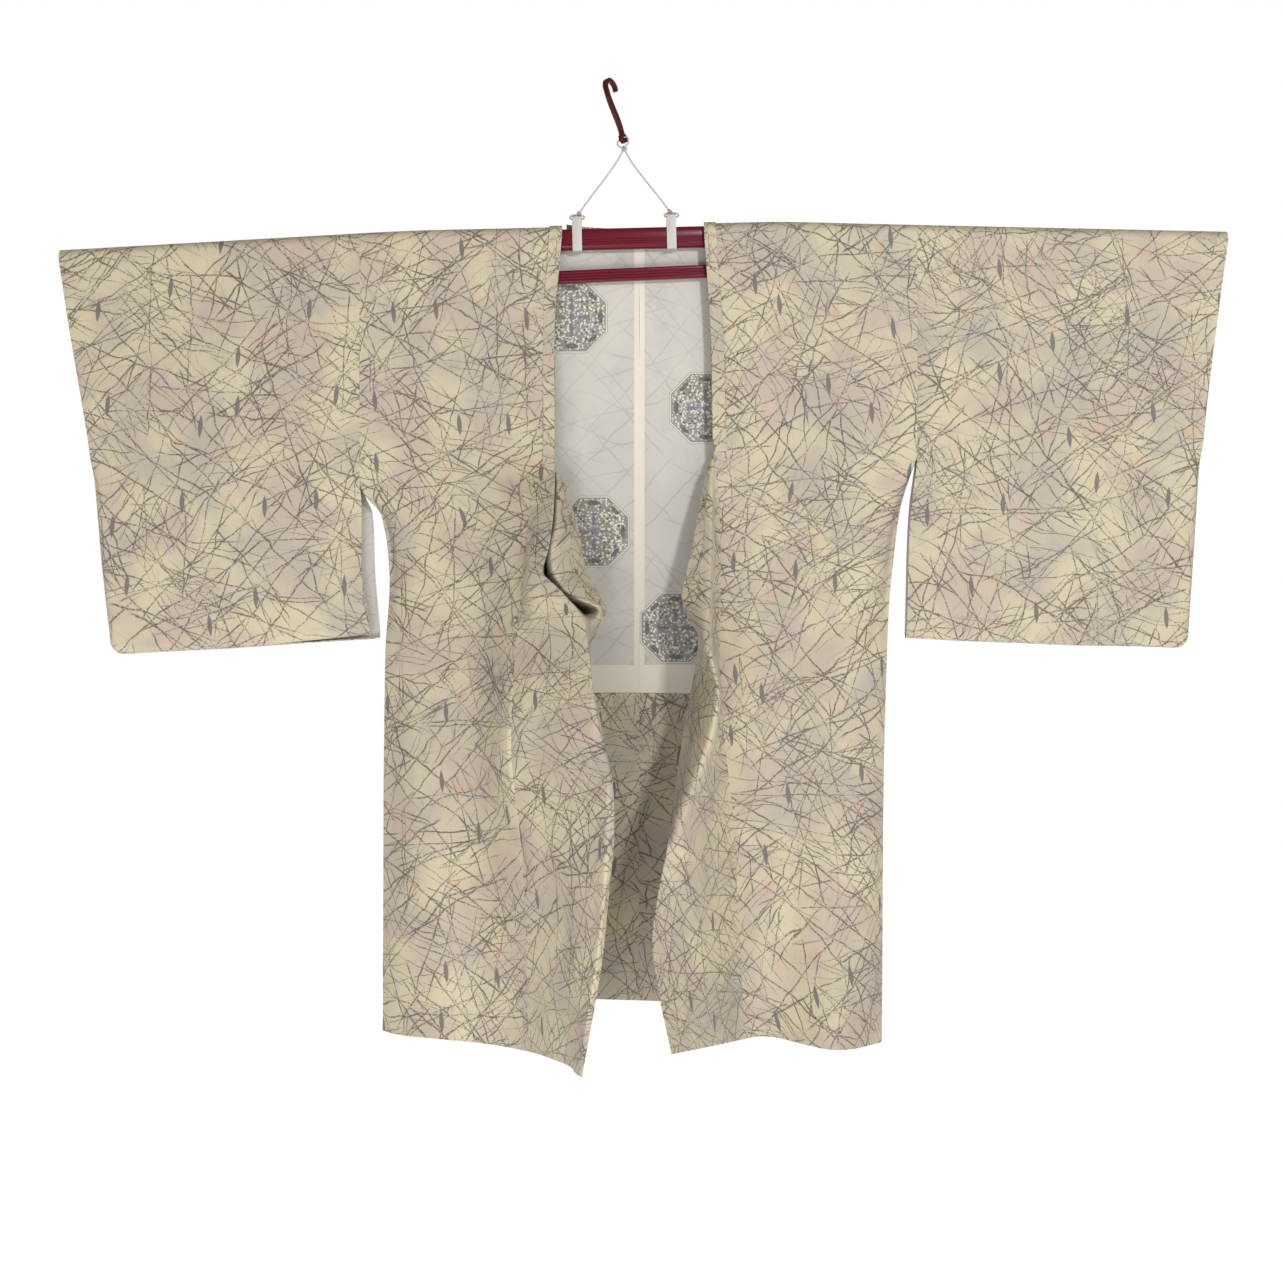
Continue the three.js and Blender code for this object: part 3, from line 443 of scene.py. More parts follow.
def lining_silk(name, medallions):
    """Off-white with vague clouds, cream along the seam and the hem. A medallion is drawn once, round the
    nearest of its centres: ovals in one eighth of an octagon, over a ground of dots and fine mottle."""
    material, tree, shader = new_finish(name, 0.5, 0.3)
    place = step(tree, "ShaderNodeTexCoord").outputs["Object"]
    clouds = rise(tree, cloud(tree, place, 9.0, 2.0, 0.5, 5.0), 0.35, 0.7)
    through = rise(tree, cloud(tree, place, 26.0, 4.0, 0.7, 7.0), 0.5, 0.7)
    colour = blended(tree, clouds, (0.5, 0.48, 0.43), (0.45, 0.435, 0.4))
    colour = blended(tree, sums(tree, "MULTIPLY", through, 0.35), colour, (0.34, 0.33, 0.315))
    upright = step(tree, "ShaderNodeMapping", {"Vector": place, "Rotation": (math.pi / 2, 0, 0)}).outputs[0]
    behind = twigs(tree, upright, clouds, TWIG_LINES[1:9:2])
    colour = blended(tree, sums(tree, "MULTIPLY", behind, 0.5), colour, (0.31, 0.3, 0.29))
    if medallions:
        where = step(tree, "ShaderNodeSeparateXYZ", {0: place})
        beside = sums(tree, "ABSOLUTE", sums(tree, "SUBTRACT", where.outputs[0], STRIPE[0]))
        stripe = rise(tree, beside, STRIPE[1] + 0.0008, STRIPE[1] - 0.0008)
        band = sums(tree, "LESS_THAN", where.outputs[2], -BAND_TOP)
        colour = blended(tree, sums(tree, "MAXIMUM", stripe, band), colour, (0.62, 0.585, 0.5))
        near, best = None, None
        for x, drop in MEDALLIONS:
            pair = {0: place, 1: (x / 1000, 0, -drop / 1000)}
            way = step(tree, "ShaderNodeVectorMath", pair, operation="SUBTRACT").outputs[0]
            way = step(tree, "ShaderNodeVectorMath", {0: way, 1: (1, 0, 1)}, operation="MULTIPLY").outputs[0]
            far = step(tree, "ShaderNodeVectorMath", {0: way}, operation="LENGTH").outputs["Value"]
            if near is None:
                near, best = way, far
                continue
            closer = sums(tree, "LESS_THAN", far, best)
            mixed = step(tree, "ShaderNodeMix", {0: closer, 4: near, 5: way}, data_type="VECTOR")
            near, best = mixed.outputs[1], sums(tree, "MINIMUM", far, best)
        parts = step(tree, "ShaderNodeSeparateXYZ", {0: near})
        x = sums(tree, "ABSOLUTE", parts.outputs[0])
        z = sums(tree, "ABSOLUTE", parts.outputs[2])
        long, short = sums(tree, "MAXIMUM", x, z), sums(tree, "MINIMUM", x, z)
        slant = sums(tree, "MULTIPLY", sums(tree, "ADD", x, z), SLANT)
        beside = sums(tree, "MULTIPLY", sums(tree, "SUBTRACT", long, short), SLANT)
        reach = sums(tree, "MAXIMUM", long, slant)
        threads = {"dark": None, "violet": None}
        frayed = sums(tree, "MULTIPLY_ADD", cloud(tree, place, 420.0, 2.0, 0.6, 2.0), 1.1, -0.55)
        for rows, along, aside in [(STRAIGHT_FIGURES, long, short), (SLANTED_FIGURES, slant, beside)]:
            for far, off, half_long, half_wide, kind in rows:
                a = sums(tree, "DIVIDE", sums(tree, "SUBTRACT", along, far), half_long)
                b = sums(tree, "DIVIDE", sums(tree, "SUBTRACT", aside, off), half_wide)
                a, b = sums(tree, "POWER", a, 2.0), sums(tree, "POWER", b, 2.0)
                oval = rise(tree, sums(tree, "ADD", sums(tree, "ADD", a, b), frayed), 1.15, 0.75)
                held = threads[kind]
                threads[kind] = oval if held is None else sums(tree, "MAXIMUM", held, oval)
        dots = step(tree, "ShaderNodeTexVoronoi", {"Vector": place, "Scale": 330.0}).outputs["Distance"]
        mottle = cloud(tree, place, 300.0, 3.0, 0.7, 4.0)
        leafy = rise(tree, sums(tree, "MULTIPLY_ADD", mottle, 0.9, dots), 0.8, 0.93)
        hue = cloud(tree, place, 60.0, 1.0, 0.5, 11.0)
        pale = blended(tree, hue, (0.6, 0.58, 0.43), (0.6, 0.575, 0.52))
        grey = blended(tree, rise(tree, hue, 0.4, 0.6), (0.11, 0.115, 0.09), (0.14, 0.13, 0.15))
        filled = blended(tree, sums(tree, "MULTIPLY", leafy, 0.8), pale, grey)
        filled = blended(tree, sums(tree, "MULTIPLY", threads["violet"], 0.8), filled, (0.13, 0.115, 0.19))
        filled = blended(tree, sums(tree, "MULTIPLY", threads["dark"], 0.85), filled, (0.07, 0.07, 0.08))
        inner, border, outer = MEDALLION_LINES
        outlined = blended(tree, sums(tree, "COMPARE", reach, inner, 0.0006), filled, (0.2, 0.2, 0.17))
        outlined = blended(tree, sums(tree, "GREATER_THAN", reach, border), outlined, (0.56, 0.55, 0.47))
        outlined = blended(tree, sums(tree, "COMPARE", reach, outer, 0.0004), outlined, (0.27, 0.27, 0.23))
        colour = blended(tree, sums(tree, "LESS_THAN", reach, MEDALLION_REACH), colour, outlined)
    tree.links.new(colour, shader.inputs["Base Color"])
    weave = cloud(tree, place, 1100.0, 1.0, 0.5, 1.0)
    bump = step(tree, "ShaderNodeBump", {"Height": weave, "Strength": 0.08, "Distance": 0.0004})
    tree.links.new(bump.outputs[0], shader.inputs["Normal"])
    return material


lining = lining_silk("lining_silk", True)
plain_lining = lining_silk("plain_lining_silk", False)

# Left front and its overlap, the wearer's right.
# One width of silk over the shoulder with a narrower one sewn to it; its top corner has slipped, so a
# deep fold runs down from the neck's corner to the hem.
left_side = guide((178, -278, 10.2), (446, -278, 10.2), (466, -270, 7), (480, -257, 2.5), (500, -251, 0),
    (560, -245, 0), (640, -250, 0), (1062, -253, 0))
left_front = dict(
    turn=guide((178, -266, -10.2), (450, -262, -10.5), (500, -240, -10), (600, -234, -11),
        (1063, -243, -11)),
    bulge=guide((174, -212, -10.2), (434, -210, -13), (625, -205, -24), (760, -204, -30), (1064, -193, -38)),
    hollow=guide((172, -140, -10.2), (434, -138, -18), (625, -146, -42), (760, -143, -52), (1068, -137, -46)),
    seam=guide((170, -52, -10.2), (290, -61, -12), (434, -60, -30), (461, -81, -42), (527, -89, -60),
        (625, -98, -86), (735, -103, -104), (850, -92, -100), (1072, -85, -72)),
)
left_overlap = dict(
    trough=guide((434, -60, -30), (500, -77, -66), (560, -84, -90), (620, -66, -110), (710, -80, -121),
        (850, -77, -121), (900, -67, -118), (972, -55, -128), (1071, -37, -160)),
    ridge=guide((434, -60, -30), (452, -60, -44), (494, -61, -70), (528, -65, -88), (550, -71, -96),
        (570, -52, -107), (597, -30, -120), (631, -21, -138), (665, -17, -150), (715, -14, -168),
        (780, -16, -172), (900, -22, -176), (1073, -33, -174)),
    valley=guide((434, -60, -30), (452, -59, -32), (494, -62, -28), (528, -68, -28), (555, -70, -28),
        (575, -52, -28), (592, -31, -34), (605, -21, -104), (631, -21, -118), (665, -17, -135),
        (715, -8, -166), (780, -6, -182), (900, -12, -187), (1073, -31, -184)),
    nose=guide((434, -60, -30), (452, -55, -44), (494, -55, -67), (528, -60, -85), (555, -56, -94),
        (579, -35, -96), (592, -9, -87), (604, -13, -93), (631, -21, -97), (665, -19, -115),
        (715, -6, -155), (780, 2, -190), (900, -3, -197), (1073, -28, -195)),
    edge=guide((434, -60, -30), (452, -51, -37), (511, -33, -45), (547, -26, -54), (598, -4, -80),
        (614, -10, -75), (631, -19, -75), (665, -18, -97), (709, -9, -141), (780, 7, -186),
        (820, 8, -190), (880, 3, -189), (960, -5, -191), (1074, -25, -200)),
)
right_side = guide((170, 344, 10.2), (418, 344, 10.2), (436, 338, 6), (468, 328, 0), (535, 318, 0),
    (665, 310, 0), (1075, 305, 0))


def front_surface(side, front, overlap, corner_drop):
    """Points for u from 0 at the side seam to 1 at the overlap's seam and 2 at the front edge, and v
    from -1 at the shoulder's top to 0 at the foot of the fold and 1 at the hem."""
    mirrored = side * (1, 1, -1)
    lines = [mirrored, *front.values()]
    flap = list(overlap.values())
    places = [0, 0.05, 0.3, 0.64, 1, *(1 + (i + 1) / len(flap) for i in range(len(flap)))]
    seam = lines[-1]
    corner = (corner_drop - top_of(seam)) / (seam[-1, 0] - top_of(seam))

    def surface(u, v):
        """Points on the panel: down its guide lines for v, then across them for u."""
        rows = [on_guide(line, v) for line in lines]
        below = (v - corner) / (1 - corner)
        for line in flap:
            free = on_guide(line, below, corner_drop)
            rows.append(np.where(below[:, None] > 0, free, rows[4]))
        return folded(smooth(places, rows, u), v[None, :] * np.ones((len(u), 1)))

    return surface, corner


def shares(line, drops):
    """Shares of the way down a guide, for drops below the hook."""
    return (np.asarray(drops, float) - top_of(line)) / (line[-1, 0] - top_of(line))


def eased(start, end, count, power=1.0):
    """Places from start to end, closer together near both ends when power is over 1."""
    t = np.linspace(0, 1, count)
    bent = np.where(t < 0.5, 0.5 * (2 * t) ** power, 1 - 0.5 * (2 - 2 * t) ** power)
    return start + (end - start) * bent


FOLD_ROWS = np.linspace(-1, 0, 9)
COLLAR_FROM = 0.89  # share of the front's width where the collar's inner edge lies
ON_CLOTH = WALL / 2 + 0.9  # from a panel's middle to that of what lies on it
left_surface, left_corner = front_surface(left_side, left_front, left_overlap, 434)
LEFT_CREASES = [
    (-262, 470, -215, 620, 9, -3.0),
    (-255, 455, -190, 560, 8, 2.2),
    (-268, 440, -150, 500, 10, -1.6),
    (-225, 560, -215, 900, 16, 2.0),
    (-176, 300, -170, 620, 20, 1.4),
    (-120, 640, -105, 900, 14, 2.4),
    (-84, 470, -110, 620, 10, -2.2),
    (-170, 820, -150, 1050, 18, -2.6),
    (-205, 190, -190, 330, 14, 1.0),
    (-75, 210, -90, 420, 12, 1.2),
]
front_down = np.concatenate([FOLD_ROWS, np.linspace(0, 1, 170)[1:]])
front_across = eased(0, 1, 72, 1.35)


def add_front(name, surface, seam, way, creases, corner, flap_creases, flap_count, facts):
    """The front, its overlap, and the narrow collar along the neck and the overlap's top edge."""
    rests = ["tube", "arm_" + name]
    body = creased(surface(front_across, front_down), way, creases)
    flat = flat_of(body, facts["origin"]) * (-way, 1)
    piece = shell("front_" + name, body, way, flat, silk, plain_lining)
    top = np.concatenate([FOLD_ROWS, np.linspace(0, corner, 40)[1:]])
    strip = surface(np.linspace(COLLAR_FROM, 1, 8), top)
    band = shell("collar_" + name, strip, way, flat_of(strip, (300, 40)), silk, silk, 1.1, ON_CLOTH)
    down = corner + 0.004 + (1 - corner - 0.004) * np.linspace(0, 1, 220) ** 1.15
    flap = surface(1 + np.linspace(0, 1, flap_count), down)
    flap = creased(flap, way, flap_creases, 0.08)
    wing = shell("overlap_" + name, flap, way, flat_of(flap, facts["flap_origin"]), silk, silk)
    point = shares(seam, [facts["point"]])[0]
    edge = surface(np.linspace(facts["edge"], 2, 4), np.linspace(corner + 0.02, point, 50))
    trim = shell("collar_top_" + name, edge, way, flat_of(edge, (500, 10)), silk, silk, 1.1, ON_CLOTH)
    hang(piece, ["front_" + name, f"shoulder_{name}_front"], "silk", *facts["cut"], rests, [])
    hang(band, "collar_" + name, "silk", *facts["band_cut"], ["front_" + name])
    hang(wing, "overlap_" + name, "silk", *facts["flap_cut"], ["front_" + name])
    hang(trim, "collar_top_" + name, "silk", *facts["trim_cut"], ["overlap_" + name])


LEFT_FLAP_CREASES = [
    (-70, 640, -66, 900, 12, -2.5),
    (-40, 700, -30, 1000, 10, 1.6),
    (-75, 560, -40, 640, 8, 1.5),
]
left_facts = dict(
    origin=(0, 0),
    flap_origin=(3100, 300),
    point=598,
    edge=1.935,
    cut=((0.235, 0.92), 0.205),
    band_cut=((0.0125, 0.28), 0.0034),
    flap_cut=((0.17, 0.66), 0.1),
    trim_cut=((0.014, 0.19), 0.0024),
)
add_front(
    "left",
    left_surface,
    left_front["seam"],
    -1,
    LEFT_CREASES,
    left_corner,
    LEFT_FLAP_CREASES,
    130,
    left_facts,
)

# Right front and its overlap, the wearer's left.
# The same two widths; the overlap swings forward to a round nose and its front edge turns back.
right_front = dict(
    turn=guide((170, 334, -10.2), (425, 332, -10.5), (480, 316, -10), (665, 300, -11), (1075, 296, -12)),
    crest=guide((168, 268, -10.2), (434, 270, -14), (735, 262, -24), (930, 256, -30), (1073, 246, -58)),
    hollow=guide((166, 190, -10.2), (434, 205, -12), (735, 205, -18), (930, 186, -22), (1066, 176, -15)),
    seam=guide((166, 106, -10.2), (290, 114, -11), (415, 117, -13), (469, 122, -16), (560, 124, -20),
        (650, 123, -26), (735, 128, -34), (801, 135, -39), (911, 142, -40), (1067, 150, -26)),
)
right_overlap = dict(
    nose=guide((415, 117, -13), (448, 114, -28), (479, 113, -40), (521, 112, -54), (556, 110, -64),
        (600, 107, -84), (622, 106, -98), (645, 111, -112), (681, 118, -122), (715, 113, -124),
        (765, 97, -132), (832, 77, -142), (897, 88, -120), (1062, 116, -90)),
    edge=guide((415, 117, -13), (447, 108, -22), (519, 94, -44), (584, 82, -56), (602, 88, -58),
        (621, 99, -58), (657, 96, -46), (685, 90, -48), (734, 81, -68), (771, 75, -90),
        (832, 66, -134), (897, 53, -158), (940, 48, -164), (987, 54, -167), (1056, 68, -170)),
)

right_surface, right_corner = front_surface(right_side, right_front, right_overlap, 415)
RIGHT_CREASES = [
    (336, 455, 290, 640, 9, -2.8),
    (338, 430, 262, 540, 9, 2.0),
    (330, 430, 240, 470, 10, -1.4),
    (186, 220, 190, 700, 16, -2.0),
    (160, 240, 158, 640, 14, 1.8),
    (250, 300, 262, 700, 22, 1.6),
    (200, 900, 210, 1065, 14, -4.0),
    (170, 820, 176, 1050, 12, 2.4),
    (290, 640, 282, 1040, 18, 1.8),
    (296, 190, 300, 400, 18, 1.0),
]
RIGHT_FLAP_CREASES = [
    (120, 700, 128, 980, 14, 1.6),
    (100, 560, 104, 660, 8, 1.2),
    (80, 880, 100, 1040, 12, -1.8),
]
right_facts = dict(
    origin=(-640, 0),
    flap_origin=(3700, 330),
    point=586,
    edge=1.73,
    cut=((0.24, 0.94), 0.215),
    band_cut=((0.0125, 0.27), 0.0033),
    flap_cut=((0.17, 0.67), 0.105),
    trim_cut=((0.014, 0.19), 0.0024),
)
add_front(
    "right",
    right_surface,
    right_front["seam"],
    1,
    RIGHT_CREASES,
    right_corner,
    RIGHT_FLAP_CREASES,
    110,
    right_facts,
)

# Back, in two halves with a centre seam.
# Each half is the same width of silk as its front, carried on over the shoulder; within the neck it
# ends just behind the hanger's tube.
back = dict(
    left_turn=guide((178, -266, 10.2), (450, -262, 9), (500, -240, 10), (700, -240, 12), (1060, -241, 16)),
    left_wave=guide((172, -112, 10.2), (500, -110, 13), (750, -112, 24), (1036, -118, 54)),
    centre=guide((168, 34, 10.2), (500, 34, 11), (700, 34, 15), (1033, 33, 28)),
    right_wave=guide((166, 190, 10.2), (500, 186, 12), (750, 178, 15), (1046, 172, 9)),
    right_turn=guide((170, 334, 10.2), (425, 332, 9), (480, 316, 10), (700, 298, 11), (1073, 294, 13)),
)

BACK_LINES = [left_side, *back.values(), right_side]
BACK_PLACES = [0, 0.05, 0.5, 1, 1.5, 1.95, 2]
NECK = (-52, 106)  # x of the neck's two sides
NECK_STOP = 0.05  # share of the fold that the back climbs within the neck


def back_surface(u, v):
    """Points for u from 0 at one side seam to 1 at the centre seam and 2 at the other."""
    rows = [on_guide(line, v) for line in BACK_LINES]
    points = smooth(BACK_PLACES, rows, u)
    depth = v[None, :] * np.ones((len(u), 1))
    in_neck = (points[:, :1, 0] > NECK[0]) & (points[:, :1, 0] < NECK[1])
    depth = np.where((depth < 0) & in_neck, depth * NECK_STOP, depth)
    return folded(points, depth)


BACK_CREASES = [
    (-262, 470, -200, 640, 12, 2.4),
    (-262, 450, -150, 540, 10, 2.0),
    (330, 455, 270, 640, 12, 2.4),
    (334, 435, 230, 530, 10, 2.0),
    (-150, 620, -146, 1000, 20, 2.6),
    (-60, 710, -54, 1020, 18, -2.2),
    (120, 600, 112, 1020, 18, 2.4),
    (220, 710, 224, 1030, 20, -2.6),
    (-90, 230, -60, 420, 16, 1.2),
    (150, 230, 120, 420, 16, 1.2),
]
back_down = np.concatenate([FOLD_ROWS, np.linspace(0, 1, 120)[1:]])
for name, start, end, cut in [("left", 0, 1, ((0.32, 0.90), 0.28)), ("right", 1, 2, ((0.32, 0.92), 0.285))]:
    half = creased(back_surface(eased(start, end, 80, 1.3), back_down), 1, BACK_CREASES, 0.02)
    flat = flat_of(half, (0 if name == "left" else 330, 0)) * (1, -1)
    piece = shell("back_" + name, half, 1, flat, silk, silk)
    hang(piece, ["back_" + name, f"shoulder_{name}_back"], "silk", *cut, ["tube", "arm_" + name])

# Back of the narrow collar.
# A folded strip of the silk behind the hanger's tube; its left end rides up above it.
across, height = np.linspace(0, 1, 40), np.linspace(0, 1, 8)
u, v = np.meshgrid(across, height, indexing="ij")
collar_drop = 162 - 5 * (1 - u) ** 6 + v * 20
collar_grid = np.stack([NECK[0] + 4 + u * (NECK[1] - NECK[0] - 8), FOLD_HALF + 1.7 + 0 * u, -collar_drop], -1)
collar_back = shell("collar_back", collar_grid, 1, flat_of(collar_grid, (200, 600)), silk, silk, 1.0)
hang(collar_back, "collar_back", "silk", (0.152, 0.022), None, ["back_left", "back_right"])

# Back lining.
# Two widths of the pale silk sewn to the back inside, with a plain band folded up along its hem and a
# plain stripe each side of the centre seam.
LINING_FOOT = 684
for name, start, end in [("left", 0.06, 1), ("right", 1, 1.94)]:
    down = shares(back["centre"], np.linspace(184, LINING_FOOT, 90))
    sheet_points = creased(back_surface(np.linspace(start, end, 60), down), 1, [
        (-20, 300, -14, 640, 9, 0.9),
        (60, 260, 66, 520, 10, 0.8),
        (2, 220, -30, 420, 12, -0.8),
    ], 0.02)
    lift = -ON_CLOTH - 0.1
    cloth = shell("lining_" + name, sheet_points, 1, flat_of(sheet_points), plain_lining, lining, 0.8, lift)
    hang(cloth, "lining_" + name, "lining", (0.30, 0.51), None, ["back_" + name])

# Sleeves.
# Each is one width folded over the hanger's arm: open at the cuff below the shoulder, sewn below that
# and along the bottom, and open towards the body under the arm.
sleeve_left = dict(
    inner=guide((178, -278, 10.2), (446, -278, 10.2), (470, -276, 9), (550, -275, 11), (617, -265, 10.2)),
    inner_behind=guide((178, -278, 10.2), (446, -278, 10.2), (466, -273, 10), (482, -266, 10),
        (550, -263, 11), (622, -257, 10.2)),
    fold=guide((188, -420, 10.2), (400, -412, 13), (632, -405, 9)),
    outer=guide((197, -614, 10.2), (281, -601, 11), (420, -578, 12), (540, -567, 10), (640, -556, 8)),
)
sleeve_right = dict(
    inner=guide((170, 344, 10.2), (418, 344, 10.2), (470, 338, 10), (622, 332, 9)),
    fold=guide((172, 500, 10.2), (400, 498, 12), (629, 493, 9)),
    outer=guide((177, 691, 10.2), (235, 683, 10), (420, 661, 12), (540, 653, 10), (633, 647, 8)),
)

CUFF = 235  # length of the cuff's opening below the shoulder
EDGE_ROUND = 9  # distance over which the two layers close at a sewn edge
CORNER = 13  # radius of the outer lower corner
FOLD_LINE = 0.42  # share of the way from the armhole to the cuff


def closing(distance):
    """How far open two layers are, on a quarter circle, at a distance from the edge that joins them."""
    share = np.clip(distance / EDGE_ROUND, 0, 1)
    return np.sqrt(1 - (1 - share) ** 2)


def sleeve_surface(sleeve, side, u, v):
    """Points of one layer, side -1 in front and 1 behind, for u from 0 at the armhole to 1 at the cuff."""
    inner = sleeve["inner_behind"] if side > 0 and "inner_behind" in sleeve else sleeve["inner"]
    lines = [inner, sleeve["fold"], sleeve["outer"]]
    rows = [on_guide(line, v) for line in lines]
    points = smooth([0, FOLD_LINE, 1], rows, u)
    foot = smooth([0, FOLD_LINE, 1], [[-line[-1, 0]] for line in lines], u)
    to_foot = points[..., 2] - foot
    rounding = np.maximum(CORNER - to_foot, 0)
    cut = CORNER - np.sqrt(np.maximum(CORNER**2 - rounding**2, 0))
    points[..., 0] -= np.sign(points[..., 0]) * cut * u[:, None] ** 4
    to_edge = (1 - u)[:, None] * np.abs(rows[2][:, 0] - rows[0][:, 0])[None, :]
    sewn = np.clip((-points[..., 2] - shoulder_drop(points[..., 0]) - CUFF) / 25, 0, 1)
    points[..., 1] *= side * np.minimum(closing(to_foot), 1 - sewn * (1 - closing(to_edge)))
    depth = v[None, :] * np.ones((len(u), 1))
    points[..., 1] = np.where(depth < 0, side, points[..., 1])
    return folded(points, depth)


SLEEVE_CREASES = {
    "left": [
        (-300, 230, -330, 560, 16, 1.6),
        (-290, 430, -420, 560, 14, 1.8),
        (-430, 220, -470, 600, 24, 1.4),
        (-560, 230, -530, 610, 18, -1.6),
        (-590, 300, -470, 600, 16, 1.2),
        (-360, 240, -400, 420, 14, -1.0),
    ],
    "right": [
        (360, 220, 372, 560, 14, 1.6),
        (352, 430, 470, 560, 14, 1.6),
        (480, 210, 470, 600, 22, 1.4),
        (600, 220, 585, 600, 18, -1.4),
        (650, 300, 560, 590, 16, 1.2),
        (420, 230, 450, 430, 14, -1.0),
    ],
}
sleeve_across = eased(0, 1, 80, 1.5)
sleeve_down = np.concatenate([FOLD_ROWS, eased(0, 1, 120, 1.5)[1:]])
for name, sleeve, handed, origin in [
    ("left", sleeve_left, 1, (1500, 0)),
    ("right", sleeve_right, -1, (2300, 0)),
]:
    for layer, side in [("front", -1), ("back", 1)]:
        points = sleeve_surface(sleeve, side, sleeve_across, sleeve_down)
        points = creased(points, handed * -side, SLEEVE_CREASES[name], 0.05)
        points[..., 1] = side * np.maximum(side * points[..., 1], 0.7)
        flat = flat_of(points, origin) * (1, -side)
        piece = shell(f"sleeve_{name}_{layer}", points, handed * -side, flat, silk, plain_lining, 1.2)
        hang(piece, f"sleeve_{name}_{layer}", "silk", (0.36, 0.47), None, ["arm_" + name])
strip = sleeve_surface(sleeve_left, 1, np.linspace(0.005, 0.2, 12), np.linspace(0.68, 0.94, 40))
inner_strip = shell("lining_sleeve", strip, -1, flat_of(strip), plain_lining, plain_lining, 0.8, -ON_CLOTH)
hang(inner_strip, "lining_sleeve", "lining", (0.07, 0.12), None, ["sleeve_left_back"])


# Hanger.
# Glossy maroon plastic: a ribbed tube with an arm sliding in each end, a lower bar on two posts, and
# a darker hook; white straps carry it.
def dressed(node, material, bevel):
    """A smooth copy of a CAD piece with softened edges."""
    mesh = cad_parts[node].data.copy()
    piece = bpy.data.objects.new(node + "_finished", mesh)
    bpy.context.scene.collection.objects.link(piece)
    weld = piece.modifiers.new("weld", "WELD")
    weld.merge_threshold = 1e-5
    softened = piece.modifiers.new("soft_edges", "BEVEL")
    softened.width = bevel
    softened.segments = 2
    softened.limit_method = "ANGLE"
    softened.angle_limit = math.radians(38)
    mesh.materials.clear()
    mesh.materials.append(material)
    mesh.shade_smooth()
    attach(piece, "root")
    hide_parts(node)
    return piece


def moulded(name, colour, worn, roughness, coat, specular):
    """Moulded plastic: its colour clouded a little, fine drawn scratches in the bump."""
    material, tree, shader = new_finish(name, roughness)
    shader.inputs["Coat Weight"].default_value = coat
    shader.inputs["Specular IOR Level"].default_value = specular
    place = step(tree, "ShaderNodeTexCoord").outputs["Object"]
    tone = blended(tree, cloud(tree, place, 35.0, 3.0, 0.6, 1.0), colour, worn)
    tree.links.new(tone, shader.inputs["Base Color"])
    drawn = step(tree, "ShaderNodeMapping", {"Vector": place, "Scale": (30, 900, 900)}).outputs[0]
    marks = cloud(tree, drawn, 1.0, 2.0, 0.5, 2.0)
    bump = step(tree, "ShaderNodeBump", {"Height": marks, "Strength": 0.08, "Distance": 0.0003})
    tree.links.new(bump.outputs[0], shader.inputs["Normal"])
    return material


maroon = moulded("maroon_plastic", (0.1, 0.005, 0.013), (0.125, 0.008, 0.02), 0.26, 0.0, 0.2)
dark_maroon = moulded("dark_maroon_plastic", (0.05, 0.003, 0.008), (0.065, 0.005, 0.011), 0.2, 0.0, 0.25)
white_plastic = moulded("white_plastic", (0.5, 0.485, 0.45), (0.44, 0.43, 0.4), 0.45, 0.0, 0.4)
for node in ("tube", "arm_left", "arm_right", "lower_bar", "post_1", "post_2"):
    dressed(node, maroon, 0.0006)
dressed("hook", dark_maroon, 0.0006)
for node in ("strap_1", "strap_2"):
    dressed(node, white_plastic, 0.0003)

# Snaps.
# Nickelled press studs sewn beside the left seam, with their mates inside the right overlap.
nickel, tree, shader = new_finish("nickel", 0.32)
shader.inputs["Metallic"].default_value = 1.0
place = step(tree, "ShaderNodeTexCoord").outputs["Object"]
dull = blended(tree, cloud(tree, place, 700.0, 2.0, 0.6, 1.0), (0.36, 0.34, 0.3), (0.6, 0.58, 0.53))
tree.links.new(dull, shader.inputs["Base Color"])
for node in ("snap_1", "snap_2", "snap_3", "stud_1", "stud_2", "stud_3"):
    dressed(node, nickel, 0.0002)

# Cord.
# A thin light grey twisted cord from strap to strap through the hook's eye, knotted below it and at both
# straps.
CORD_RADIUS = 0.9
route = np.array([
    (-33.6, 0, -147.2), (-27.4, -0.1, -138.4), (-18.9, -0.4, -127.0), (-10.2, -0.7, -115.7),
    (-1.6, -1.0, -104.2), (6.7, -1.1, -92.6), (12.3, -1.0, -83.6), (14.6, -0.6, -78.6),
    (15.1, 0.1, -75.4), (13.8, 1.1, -73.0), (11.0, 2.4, -71.2), (9.4, 3.0, -68.6),
    (10.1, 2.8, -66.0), (12.0, 1.8, -63.8), (14.9, 0.4, -62.3), (18.1, -1.1, -61.7),
    (20.9, -2.5, -62.9), (21.9, -3.0, -66.3), (21.0, -2.4, -69.5), (18.9, -1.0, -72.1),
    (18.3, 0.0, -75.2), (20.0, 0.6, -80.2), (24.5, 1.0, -88.1), (32.9, 1.0, -99.7),
    (41.6, 0.7, -110.9), (50.6, 0.4, -122.1), (59.4, 0.1, -133.2), (68.0, 0, -144.7),
])


